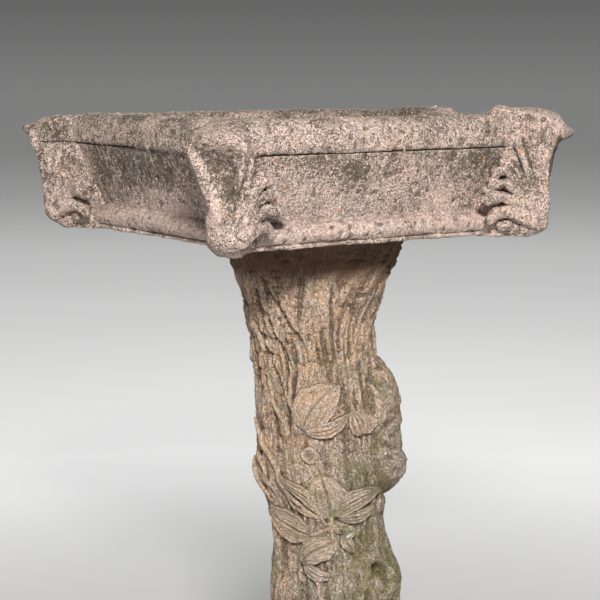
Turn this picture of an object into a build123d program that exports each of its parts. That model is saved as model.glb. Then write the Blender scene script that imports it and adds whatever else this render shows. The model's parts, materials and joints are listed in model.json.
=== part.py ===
from build123d import *
import math
import os

# Bird bath in cast stone: a square dished basin with a leaf bracket at each corner, dry-seated on a
# pedestal cast as a tree trunk. A steel dowel in the trunk locates the basin, which lifts straight off.
# Frame: +Z up, origin on the ground below the basin's centre, basin sides along X and Y.
# All sizes are in millimetres.

# --- Overall sizes ---------------------------------------------------------------------------------
trunk_height = 585.0  # ground to the top of the trunk casting
rim_half = 172.0  # half the width of the basin across the faces of its rim
bed_thickness = 5.0  # bedding mortar that levels the basin

# --- Basin, outside --------------------------------------------------------------------------------
plate_height = 4.0  # thin square plate under the bead
bead_radius = 10.0  # half-round bead along the foot of each side
panel_height = 65.0  # sloping plain panel between bead and rim
rim_height = 32.0  # heavy rounded rim
panel_recess = 4.0  # step from the rim's face in to the panel's head
panel_batter = 21.0  # how far the panel's foot stands in from its head
plate_lip = 5.0  # plate beyond the panel's foot
bead_bulge = 9.0  # bead beyond the panel's foot
plan_corner = 12.0  # corner radius of the plate, bead and panel in plan
rim_corner = 26.0  # corner radius of the rim in plan
rim_round = 16.0  # rounding along the rim's outer top edge

# --- Basin, bowl -----------------------------------------------------------------------------------
rim_width = 48.0  # rim face to bowl mouth
bowl_depth = 48.0
bowl_corner = 46.0  # corner radius of the bowl's mouth in plan
bowl_slope = 24.0  # degrees that the bowl's wall leans from upright
bowl_floor_round = 16.0
bowl_mouth_round = 12.0

# --- Leaf brackets at the corners ------------------------------------------------------------------
leaf_root = 75.0  # how far in from the rim's square corner a leaf is rooted
leaf_corner = 7.0  # rounding of a leaf's sections in plan
horn_drop = 10.0  # top of the rim to the top of the leaf's curled tip
horn_thickness = 12.0
# Leaf stations up to the tip's underside: height above the basin's underside, reach beyond the rim's
# square corner along the diagonal, half width.
leaf_outline = [
    (0.0, 2.0, 24.0),
    (14.0, 18.0, 30.0),
    (50.0, 18.0, 27.0),
    (86.0, 33.0, 20.0),
]
horn_reach = 42.0
horn_half_width = 10.0

# --- Uneven rim at the corner between +X and -Y ----------------------------------------------------
corner_rise = 9.0  # the rim stands this much higher at that corner
corner_boss_radius = 32.0
corner_boss_round = 8.0
corner_boss_margin = 4.0  # rim face to the boss
notch_from_corner = 86.0  # shallow dip in the top of the +X side
notch_radius = 40.0
notch_depth = 4.0

# --- Trunk -----------------------------------------------------------------------------------------
# The trunk leans away from the basin's centre line in this plan direction.
lean_angle = -33.7
# Outline stations: share of the trunk's height, distance from the basin's centre line, radius.
trunk_outline = [
    (0.000, 30.0, 118.0),
    (0.040, 30.0, 108.0),
    (0.110, 32.0, 84.0),
    (0.220, 40.0, 68.0),
    (0.350, 47.0, 66.0),
    (0.410, 47.0, 65.0),
    (0.490, 40.0, 58.0),
    (0.610, 35.0, 65.0),
    (0.710, 31.0, 64.0),
    (0.790, 27.0, 60.0),
    (0.880, 25.0, 68.0),
    (0.950, 25.0, 82.0),
    (1.000, 25.0, 92.0),
]
# Burls: share of the trunk's height, plan angle, distance of the centre from the trunk's own centre, radius.
burls = [
    (0.715, -34.0, 43.0, 40.0),
    (0.620, -22.0, 44.0, 40.0),
    (0.560, 75.0, 40.0, 32.0),
]
root_count = 5
root_circle = 84.0  # centres of the root toes from the foot's centre
root_radius = 46.0
root_turn = 20.0

# --- Locating dowel and its fit --------------------------------------------------------------------
dowel_radius = 8.0
dowel_in_trunk = 70.0
dowel_in_basin = 38.0
dowel_tip_chamfer = 2.0
dowel_clearance = 1.0  # all round, between dowel and sleeve
sleeve_wall = 3.0
sleeve_depth = 45.0
grout_wall = 3.0  # grout between dowel and the hole in the trunk
bed_margin = 10.0  # mortar held back from the trunk's edge
bed_hole_margin = 5.0  # mortar held back from the dowel

# --- Reinforcement ---------------------------------------------------------------------------------
bar_radius = 4.0
bar_circle = 28.0  # bars' centres from the cage's centre
bar_count = 4
cage_offset = 34.0  # cage's centre from the basin's centre line, along the lean
cage_foot_cover = 30.0
cage_top_cover = 25.0
tie_radius = 2.5
tie_gap = 0.2  # between a tie and the bars that it goes round
tie_count = 5
tie_foot_margin = 40.0  # lower end of the bars to the first tie
tie_dowel_margin = 15.0  # last tie to the lower end of the dowel
wire_radius = 3.0
hoop_cover = 26.0  # rim face to the hoop's centre line
hoop_height_in_rim = 10.0  # hoop's centre line above the rim's underside
hoop_corner = 20.0
floor_bar_spacing = 90.0
floor_bar_cover = 12.0  # bowl floor to the upper bars' centre line
floor_bar_gap = 1.0  # between the two layers
floor_bar_end_cover = 25.0

# --- Worked out from the sizes above ---------------------------------------------------------------
seat_z = trunk_height + bed_thickness  # underside of the basin
bead_z = seat_z + plate_height
panel_z = bead_z + 2 * bead_radius
rim_z = panel_z + panel_height
top_z = rim_z + rim_height
panel_head_half = rim_half - panel_recess
panel_foot_half = panel_head_half - panel_batter
bead_half = panel_foot_half + bead_bulge
plate_half = panel_foot_half + plate_lip
bowl_half = rim_half - rim_width
bowl_floor_z = top_z - bowl_depth
rim_diagonal = rim_half * math.sqrt(2)
lean = Vector(1, 0, 0).rotate(Axis.Z, lean_angle)
sleeve_bore = dowel_radius + dowel_clearance
sleeve_radius = sleeve_bore + sleeve_wall
grout_radius = dowel_radius + grout_wall
bed_centre = lean * trunk_outline[-1][1]
bed_radius = trunk_outline[-1][2] - bed_margin
cage_centre = lean * cage_offset
tie_circle = bar_circle + bar_radius + tie_gap + tie_radius
bar_length = trunk_height - cage_foot_cover - cage_top_cover
hoop_half = rim_half - hoop_cover
hoop_z = rim_z + hoop_height_in_rim
floor_bar_length = 2 * (panel_foot_half - floor_bar_end_cover)
upper_bar_z = bowl_floor_z - floor_bar_cover
lower_bar_z = upper_bar_z - 2 * wire_radius - floor_bar_gap

os.makedirs("parts", exist_ok=True)


def finish(piece, name):
    """Label a finished piece and write it as parts/name.step."""
    piece.part.label = name
    export_step(piece.part, f"parts/{name}.step")


def trunk_centre(share):
    """Distance of the trunk's centre from the basin's centre line at a share of its height."""
    for low, high in zip(trunk_outline, trunk_outline[1:]):
        if low[0] <= share <= high[0]:
            part_way = (share - low[0]) / (high[0] - low[0])
            return low[1] + part_way * (high[1] - low[1])
    return trunk_outline[-1][1]


def level_at(height, centre=Vector(0, 0, 0)):
    """Horizontal plane at a height, with its origin over a plan centre."""
    return Plane(origin=(centre.X, centre.Y, height))


# --- Dowel, grout, sleeve and bedding --------------------------------------------------------------
with BuildPart() as locating_dowel:
    with BuildSketch(level_at(trunk_height - dowel_in_trunk)):
        Circle(dowel_radius)
    extrude(amount=dowel_in_trunk + bed_thickness + dowel_in_basin)
    chamfer(locating_dowel.edges().group_by(Axis.Z)[-1], dowel_tip_chamfer)
finish(locating_dowel, "locating_dowel")

with BuildPart() as dowel_grout:
    with BuildSketch(level_at(trunk_height - dowel_in_trunk)):
        Circle(grout_radius)
        Circle(dowel_radius, mode=Mode.SUBTRACT)
    extrude(amount=dowel_in_trunk)
finish(dowel_grout, "dowel_grout")

with BuildPart() as dowel_sleeve:
    with BuildSketch(level_at(seat_z)):
        Circle(sleeve_radius)
        Circle(sleeve_bore, mode=Mode.SUBTRACT)
    extrude(amount=sleeve_depth)
finish(dowel_sleeve, "dowel_sleeve")

with BuildPart() as bedding_mortar:
    with BuildSketch(level_at(trunk_height, bed_centre)):
        Circle(bed_radius)
    extrude(amount=bed_thickness)
    with BuildSketch(level_at(trunk_height)):
        Circle(grout_radius + bed_hole_margin)
    extrude(amount=bed_thickness, mode=Mode.SUBTRACT)
finish(bedding_mortar, "bedding_mortar")

# --- Cage in the trunk -----------------------------------------------------------------------------
with BuildPart() as trunk_bars:
    with BuildSketch(level_at(cage_foot_cover, cage_centre)):
        with PolarLocations(bar_circle, bar_count, start_angle=lean_angle + 45):
            Circle(bar_radius)
    extrude(amount=bar_length)
finish(trunk_bars, "trunk_bars")

with BuildPart() as trunk_ties:
    first_tie = cage_foot_cover + tie_foot_margin
    last_tie = trunk_height - dowel_in_trunk - tie_dowel_margin
    tie_step = (last_tie - first_tie) / (tie_count - 1)
    for number in range(tie_count):
        tie_place = (cage_centre.X, cage_centre.Y, first_tie + number * tie_step)
        with Locations(tie_place):
            Torus(tie_circle, tie_radius)
finish(trunk_ties, "trunk_ties")

# --- Wire in the basin -----------------------------------------------------------------------------
with BuildPart() as rim_hoop:
    with BuildSketch(level_at(hoop_z)) as hoop_outline:
        RectangleRounded(2 * hoop_half, 2 * hoop_half, hoop_corner)
    hoop_path = hoop_outline.sketch.face().outer_wire()
    with BuildSketch(Plane(origin=hoop_path @ 0, z_dir=hoop_path % 0), mode=Mode.PRIVATE) as hoop_section:
        Circle(wire_radius)
    sweep(sections=hoop_section.sketch, path=hoop_path, clean=False)
finish(rim_hoop, "rim_hoop")

with BuildPart() as floor_bars:
    for side in (-1, 1):
        bar_offset = side * floor_bar_spacing / 2
        with BuildSketch(Plane(origin=(0, bar_offset, upper_bar_z), z_dir=(1, 0, 0))):
            Circle(wire_radius)
        extrude(amount=floor_bar_length / 2, both=True)
        with BuildSketch(Plane(origin=(bar_offset, 0, lower_bar_z), z_dir=(0, 1, 0))):
            Circle(wire_radius)
        extrude(amount=floor_bar_length / 2, both=True)
finish(floor_bars, "floor_bars")

# --- Trunk -----------------------------------------------------------------------------------------
with BuildPart() as trunk:
    for share, offset, radius in trunk_outline:
        with BuildSketch(level_at(share * trunk_height, lean * offset)):
            Circle(radius)
    loft()
    for share, turn, reach, radius in burls:
        out = Vector(reach, 0, 0).rotate(Axis.Z, turn)
        centre = lean * trunk_centre(share) + out + Vector(0, 0, share * trunk_height)
        with Locations((centre.X, centre.Y, centre.Z)):
            Sphere(radius)
    foot_centre = lean * trunk_outline[0][1]
    with Locations((foot_centre.X, foot_centre.Y, 0)):
        with PolarLocations(root_circle, root_count, start_angle=root_turn):
            Sphere(root_radius)
    split(bisect_by=Plane.XY, keep=Keep.TOP)
    with BuildSketch(level_at(trunk_height)):
        Circle(grout_radius)
    extrude(amount=-dowel_in_trunk, mode=Mode.SUBTRACT)
    add(trunk_bars.part, mode=Mode.SUBTRACT)
    add(trunk_ties.part, mode=Mode.SUBTRACT)
finish(trunk, "trunk")

# --- Basin -----------------------------------------------------------------------------------------
with BuildPart() as basin:
    # plate and bead
    with BuildSketch(level_at(seat_z)):
        RectangleRounded(2 * plate_half, 2 * plate_half, plan_corner)
    extrude(amount=plate_height)
    with BuildPart(mode=Mode.PRIVATE) as bead:
        with BuildSketch(level_at(bead_z)):
            RectangleRounded(2 * bead_half, 2 * bead_half, plan_corner)
        extrude(amount=2 * bead_radius)
        bead_rings = bead.edges().group_by(Axis.Z)
        fillet(bead_rings[0] + bead_rings[-1], bead_radius - 0.5)
    add(bead.part)
    # sloping panels
    with BuildSketch(level_at(panel_z)):
        RectangleRounded(2 * panel_foot_half, 2 * panel_foot_half, plan_corner)
    panel_taper = math.degrees(math.atan(panel_batter / panel_height))
    extrude(amount=panel_height, taper=-panel_taper)
    # rim
    with BuildPart(mode=Mode.PRIVATE) as rim:
        with BuildSketch(level_at(rim_z)):
            RectangleRounded(2 * rim_half, 2 * rim_half, rim_corner)
        extrude(amount=rim_height)
        fillet(rim.edges().group_by(Axis.Z)[-1], rim_round)
    add(rim.part)
    # leaf brackets
    with BuildPart(mode=Mode.PRIVATE) as leaf:
        horn_top = top_z - seat_z - horn_drop
        horn_stations = [
            (horn_top - horn_thickness, horn_reach, horn_half_width),
            (horn_top, horn_reach, horn_half_width),
        ]
        for height, reach, half_width in leaf_outline + horn_stations:
            with BuildSketch(level_at(seat_z + height)):
                with Locations((rim_diagonal + (reach - leaf_root) / 2, 0)):
                    RectangleRounded(leaf_root + reach, 2 * half_width, leaf_corner)
        loft(ruled=True)
    for corner in range(4):
        add(leaf.part.rotate(Axis.Z, 45 + 90 * corner))
    # bowl
    with BuildPart(mode=Mode.PRIVATE) as bowl:
        with BuildSketch(level_at(top_z)):
            RectangleRounded(2 * bowl_half, 2 * bowl_half, bowl_corner)
        extrude(amount=-bowl_depth, taper=bowl_slope)
        fillet(bowl.edges().group_by(Axis.Z)[0], bowl_floor_round)
    add(bowl.part, mode=Mode.SUBTRACT)
    # raised corner and the dip beside it
    boss_offset = rim_half - corner_boss_radius - corner_boss_margin
    with BuildPart(mode=Mode.PRIVATE) as boss:
        with BuildSketch(level_at(rim_z, Vector(boss_offset, -boss_offset, 0))):
            Circle(corner_boss_radius)
        extrude(amount=rim_height + corner_rise)
        fillet(boss.edges().group_by(Axis.Z)[-1], corner_boss_round)
    add(boss.part)
    notch_z = top_z + notch_radius - notch_depth
    rim_middle = rim_half - rim_width / 2
    notch_y = notch_from_corner - rim_half
    with Locations(Plane(origin=(rim_middle, notch_y, notch_z), z_dir=(1, 0, 0))):
        Cylinder(notch_radius, 2 * rim_width, mode=Mode.SUBTRACT)
    # socket and wire
    with BuildSketch(level_at(seat_z)):
        Circle(sleeve_radius)
    extrude(amount=sleeve_depth, mode=Mode.SUBTRACT)
    add(rim_hoop.part, mode=Mode.SUBTRACT)
    add(floor_bars.part, mode=Mode.SUBTRACT)
finish(basin, "basin")
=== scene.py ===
"""Studio scene of a weathered cast-stone bird bath: a square basin with leaf brackets on a tree-trunk pedestal.

Shapes are worked out in millimetres from the ground up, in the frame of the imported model, and turned into
metres as each mesh is made. The castings' surfaces are dense skins, because their weathering is real relief.
"""

from __future__ import annotations

import functools
import json
import logging
import math
from collections.abc import Sequence
from dataclasses import dataclass, field
from enum import Enum

import bpy
import numpy as np
from bpy.types import Material, Node, NodeSocket, NodeTree, Object
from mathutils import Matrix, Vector

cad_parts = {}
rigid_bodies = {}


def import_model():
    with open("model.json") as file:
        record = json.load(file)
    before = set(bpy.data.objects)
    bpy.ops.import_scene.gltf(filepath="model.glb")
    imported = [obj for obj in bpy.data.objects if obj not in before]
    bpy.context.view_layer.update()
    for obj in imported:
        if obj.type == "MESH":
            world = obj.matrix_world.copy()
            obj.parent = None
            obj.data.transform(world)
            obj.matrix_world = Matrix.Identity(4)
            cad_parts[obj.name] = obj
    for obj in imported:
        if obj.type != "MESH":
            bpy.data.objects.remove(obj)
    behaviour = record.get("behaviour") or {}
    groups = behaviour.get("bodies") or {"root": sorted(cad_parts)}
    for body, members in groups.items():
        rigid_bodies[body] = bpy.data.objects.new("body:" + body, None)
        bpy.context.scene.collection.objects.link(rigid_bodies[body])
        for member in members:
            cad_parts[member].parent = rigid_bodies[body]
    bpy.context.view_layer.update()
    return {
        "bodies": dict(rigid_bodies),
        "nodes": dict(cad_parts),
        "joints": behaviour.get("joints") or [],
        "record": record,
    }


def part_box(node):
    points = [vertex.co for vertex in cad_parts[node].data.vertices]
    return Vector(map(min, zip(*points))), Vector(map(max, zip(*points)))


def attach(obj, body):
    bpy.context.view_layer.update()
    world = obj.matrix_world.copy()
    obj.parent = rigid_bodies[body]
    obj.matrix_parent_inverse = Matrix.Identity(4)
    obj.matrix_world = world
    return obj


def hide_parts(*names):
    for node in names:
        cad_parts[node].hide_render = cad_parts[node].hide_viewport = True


Array = np.ndarray
Rgb = tuple[float, float, float]

LOG = logging.getLogger("bird_bath")
MM = 0.001
TRUNK_FRONT = math.radians(-123.7)  # plan direction that turns round the trunk are measured from


class Corner(Enum):
    """The basin's corners, by the plan angle of their diagonal in degrees."""

    NEAR = 225.0
    RIGHT = 315.0
    FAR = 45.0
    LEFT = 135.0


class Body(Enum):
    """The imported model's moving bodies."""

    BASIN = "basin"
    PEDESTAL = "pedestal"


class Tone(Enum):
    """Values kept at each point of a skin for the materials to read."""

    RELIEF = "relief"  # -1 in a hollow to 1 on a ridge; the finishes paint shade and highlight by it, and it is pushed down where painted shadow falls
    STAIN = "stain"  # how much lichen, soot or moss takes hold, 0 to 1


FLOW = "flow"  # a place along and across the bark's flow, in metres


# --- Number work ---


class StoneNoise:
    """Smooth, repeatable noise in space, from a hashed lattice."""

    def __init__(self, seed: int) -> None:
        """Keep the seed; the same one always gives the same noise."""
        self.seed = seed

    def _corner_values(self, lattice: Array) -> Array:
        """Hash whole-number lattice points.

        Args:
            lattice: Points of shape (n, 3), whole numbers.

        Returns:
            One value from -1 to 1 for each point.
        """
        mixed = lattice[:, 0] * 73856093 ^ lattice[:, 1] * 19349663 ^ lattice[:, 2] * 83492791
        mixed = (mixed ^ (self.seed * 2654435761)) & 0xFFFFFFFF
        mixed = ((mixed ^ (mixed >> 15)) * 2246822519) & 0xFFFFFFFF
        mixed = ((mixed ^ (mixed >> 13)) * 3266489917) & 0xFFFFFFFF
        return ((mixed ^ (mixed >> 16)) & 0xFFFF) / 32767.5 - 1.0

    def at(self, points: Array, size: float) -> Array:
        """Noise at points.

        Args:
            points: Array of shape (..., 3), millimetres.
            size: Width of one lump, millimetres.

        Returns:
            Values from -1 to 1, of the points' shape without its last axis.
        """
        flat = points.reshape(-1, 3) / size
        low = np.floor(flat)
        part = flat - low
        part = part * part * (3.0 - 2.0 * part)
        low = low.astype(np.int64)
        total = np.zeros(len(flat))
        for dx in (0, 1):
            for dy in (0, 1):
                for dz in (0, 1):
                    step = np.array((dx, dy, dz))
                    weight = np.where(step == 1, part, 1.0 - part).prod(axis=1)
                    total += weight * self._corner_values(low + step)
        return total.reshape(points.shape[:-1])

    def layered(self, points: Array, size: float, layers: int = 3) -> Array:
        """Sum of ever finer noise, each layer half as wide and 0.55 as strong.

        Args:
            points: Array of shape (..., 3), millimetres.
            size: Width of the widest lumps, millimetres.
            layers: How many layers.

        Returns:
            Values from about -1 to 1.
        """
        total = np.zeros(points.shape[:-1])
        strength = 1.0
        for layer in range(layers):
            total += strength * self.at(points + 31.7 * layer, size / 2**layer)
            strength *= 0.55
        return total / 1.6


def ease(value: Array, low: float, high: float) -> Array:
    """Ease from 0 at low to 1 at high; low may be above high."""
    part = np.clip((value - low) / (high - low), 0.0, 1.0)
    return part * part * (3.0 - 2.0 * part)


def bump(value: Array, centre: float, width: float) -> Array:
    """Bell of height 1 about a centre."""
    return np.exp(-(((value - centre) / width) ** 2))


def curve(value: Array, stations: Sequence[tuple[float, float]]) -> Array:
    """Smooth curve through stations.

    Args:
        value: Where to read the curve.
        stations: Pairs of place and height, in order of place.

    Returns:
        The curve's heights, joined by monotone cubic pieces.
    """
    place = np.array([s[0] for s in stations], float)
    height = np.array([s[1] for s in stations], float)
    slope = np.diff(height) / np.diff(place)
    tangent = np.zeros(len(place))
    same_way = slope[:-1] * slope[1:] > 0
    inner = np.where(same_way, 2 * slope[:-1] * slope[1:] / np.where(same_way, slope[:-1] + slope[1:], 1), 0.0)
    tangent[1:-1] = inner
    tangent[0], tangent[-1] = slope[0], slope[-1]
    value = np.clip(value, place[0], place[-1])
    span = np.clip(np.searchsorted(place, value, side="right") - 1, 0, len(place) - 2)
    width = place[span + 1] - place[span]
    t = (value - place[span]) / width
    first = height[span] * (2 * t**3 - 3 * t**2 + 1) + tangent[span] * width * (t**3 - 2 * t**2 + t)
    second = height[span + 1] * (3 * t**2 - 2 * t**3) + tangent[span + 1] * width * (t**3 - t**2)
    return first + second


def wrapped(turn: Array) -> Array:
    """The same turns, from -180 to 180 degrees."""
    return np.mod(turn + 180.0, 360.0) - 180.0


def soft_union(first: Array, second: Array, blend: float) -> Array:
    """Union of two distance fields with a rounded crease."""
    mix = np.clip(0.5 + 0.5 * (second - first) / blend, 0.0, 1.0)
    return second * (1 - mix) + first * mix - blend * mix * (1 - mix)


def soft_cut(body: Array, tool: Array, blend: float) -> Array:
    """A distance field with another cut out of it, with a rounded edge."""
    return -soft_union(-body, tool, blend)


# --- Meshes ---


def add_object(name: str, data: bpy.types.ID) -> Object:
    """Add an object to the scene, at the origin."""
    made = bpy.data.objects.new(name, data)
    bpy.context.scene.collection.objects.link(made)
    return made


class SkinMesh:
    """Points in millimetres and faces, gathered until they become one object."""

    def __init__(self) -> None:
        """Start empty."""
        self.points: list[Array] = []
        self.faces: list[tuple[int, ...]] = []
        self.tones: dict[Tone, list[Array]] = {tone: [] for tone in Tone}
        self.flow: Array | None = None
        self.count = 0

    def add(self, points: Array, faces: Sequence, relief: Array, stain: Array) -> None:
        """Add a closed shell, turning it so that its faces point outwards.

        Args:
            points: Shape (n, 3), millimetres.
            faces: Rows of point numbers, three or four to a face.
            relief: That tone at each point.
            stain: That tone at each point.
        """
        volume = 0.0
        for corner_count in (3, 4):
            chosen = np.array([f for f in faces if len(f) == corner_count], dtype=np.int64)
            if len(chosen):
                corners = points[chosen]
                for k in range(1, corner_count - 1):
                    cross = np.cross(corners[:, k], corners[:, k + 1])
                    volume += np.einsum("ij,ij->", corners[:, 0], cross)
        turned = [tuple(f[::-1]) for f in faces] if volume < 0 else [tuple(f) for f in faces]
        self.faces += [tuple(int(i) + self.count for i in f) for f in turned]
        self.points.append(points)
        self.tones[Tone.RELIEF].append(relief)
        self.tones[Tone.STAIN].append(stain)
        self.count += len(points)

    def add_loops(self, loops: Array, relief: Array, stain: Array) -> None:
        """Add a skin made of closed loops, with a fan over its first and last loop.

        Args:
            loops: Shape (loops, points in a loop, 3), millimetres.
            relief: That tone, of shape (loops, points in a loop).
            stain: That tone, of the same shape.
        """
        rows, columns = loops.shape[:2]
        number = np.arange(rows * columns).reshape(rows, columns)
        right = np.roll(number, -1, axis=1)
        quads = np.stack([number[:-1], right[:-1], right[1:], number[1:]], axis=-1).reshape(-1, 4)
        first, last = rows * columns, rows * columns + 1
        faces = [tuple(q) for q in quads]
        faces += [(first, right[0, k], number[0, k]) for k in range(columns)]
        faces += [(last, number[-1, k], right[-1, k]) for k in range(columns)]
        ends = np.stack([loops[0].mean(axis=0), loops[-1].mean(axis=0)])
        whole = [np.concatenate([tone.ravel(), [tone[0].mean(), tone[-1].mean()]]) for tone in (relief, stain)]
        self.add(np.concatenate([loops.reshape(-1, 3), ends]), faces, *whole)

    def to_object(self, name: str, material: Material) -> Object:
        """Make the object, at the origin, in metres.

        Args:
            name: The piece's name.
            material: Its material.

        Returns:
            The new object, linked to the scene.
        """
        mesh = bpy.data.meshes.new(name)
        mesh.from_pydata((np.concatenate(self.points) * MM).tolist(), [], self.faces)
        mesh.shade_smooth()
        for tone, gathered in self.tones.items():
            attribute = mesh.attributes.new(tone.value, "FLOAT", "POINT")
            attribute.data.foreach_set("value", np.concatenate(gathered).astype(np.float32))
        if self.flow is not None:
            attribute = mesh.attributes.new(FLOW, "FLOAT_VECTOR", "POINT")
            attribute.data.foreach_set("vector", (self.flow * MM).astype(np.float32).ravel())
        mesh.materials.append(material)
        LOG.info("%s: %d points, %d faces", name, len(mesh.vertices), len(mesh.polygons))
        return add_object(name, mesh)


def loop_normals(loops: Array) -> Array:
    """Unit normals of a skin made of closed loops.

    Args:
        loops: Shape (loops, points in a loop, 3).

    Returns:
        Normals of the same shape; they point outwards where loops run anticlockwise and rise.
    """
    around = np.roll(loops, -1, axis=1) - np.roll(loops, 1, axis=1)
    along = np.gradient(loops, axis=0)
    normal = np.cross(around, along)
    length = np.linalg.norm(normal, axis=2, keepdims=True)
    return normal / np.maximum(length, 1e-9)


def point_normals(points: Array, quads: Array) -> Array:
    """Unit normals at the points of a closed skin, outwards from the origin's side.

    Args:
        points: Shape (n, 3).
        quads: Rows of four point numbers.

    Returns:
        Normals of shape (n, 3).
    """
    triangles = np.concatenate([quads[:, [0, 1, 2]], quads[:, [0, 2, 3]]])
    first, second, third = (points[triangles[:, k]] for k in range(3))
    face_normal = np.cross(second - first, third - first)
    normal = np.zeros_like(points)
    for k in range(3):
        np.add.at(normal, triangles[:, k], face_normal)
    normal /= np.maximum(np.linalg.norm(normal, axis=1, keepdims=True), 1e-9)
    return -normal if np.einsum("ij,ij->", first, face_normal) < 0 else normal


def skin_of_field(values: Array, origin: Array, step: float) -> tuple[Array, Array]:
    """Skin a field of distances with quads where it crosses zero.

    Args:
        values: Shape (nx, ny, nz), negative inside; its outermost layer is outside.
        origin: Place of the first value, millimetres.
        step: Spacing of the values, millimetres.

    Returns:
        Points (n, 3) and quads (m, 4).
    """
    inside = values < 0
    shape = np.array(values.shape) - 1
    total = np.zeros((*shape, 3))
    hits = np.zeros(shape)
    corner = [slice(0, -1), slice(1, None)]
    for axis in range(3):
        others = [a for a in range(3) if a != axis]
        for u in (0, 1):
            for v in (0, 1):
                low = [corner[0]] * 3
                high = [corner[0]] * 3
                high[axis] = corner[1]
                low[others[0]] = high[others[0]] = corner[u]
                low[others[1]] = high[others[1]] = corner[v]
                a, b = values[tuple(low)], values[tuple(high)]
                crossing = (a < 0) != (b < 0)
                place = np.where(crossing, a / np.where(crossing, a - b, 1.0), 0.0)
                total[..., axis] += place
                total[..., others[0]] += crossing * u
                total[..., others[1]] += crossing * v
                hits += crossing
    used = hits > 0
    number = -np.ones(shape, dtype=np.int64)
    number[used] = np.arange(used.sum())
    cells = np.argwhere(used)
    points = origin + step * (cells + total[used] / hits[used][:, None])
    quads = []
    for axis in range(3):
        others = [a for a in range(3) if a != axis]
        low = [slice(1, -1)] * 3
        high = [slice(1, -1)] * 3
        low[axis], high[axis] = slice(0, -1), slice(1, None)
        a, b = inside[tuple(low)], inside[tuple(high)]
        edge = np.argwhere(a != b)
        leaving = a[tuple(edge.T)]
        base = edge.copy()
        for other in others:
            base[:, other] += 1
        ring = []
        for u, v in ((0, 0), (1, 0), (1, 1), (0, 1)):
            cell = base.copy()
            cell[:, others[0]] -= u
            cell[:, others[1]] -= v
            ring.append(number[tuple(cell.T)])
        quad = np.stack(ring, axis=1)
        if axis == 1:
            leaving = ~leaving
        quad[leaving] = quad[leaving][:, ::-1]
        quads.append(quad)
    return points, np.concatenate(quads)


# --- Basin ---


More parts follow.
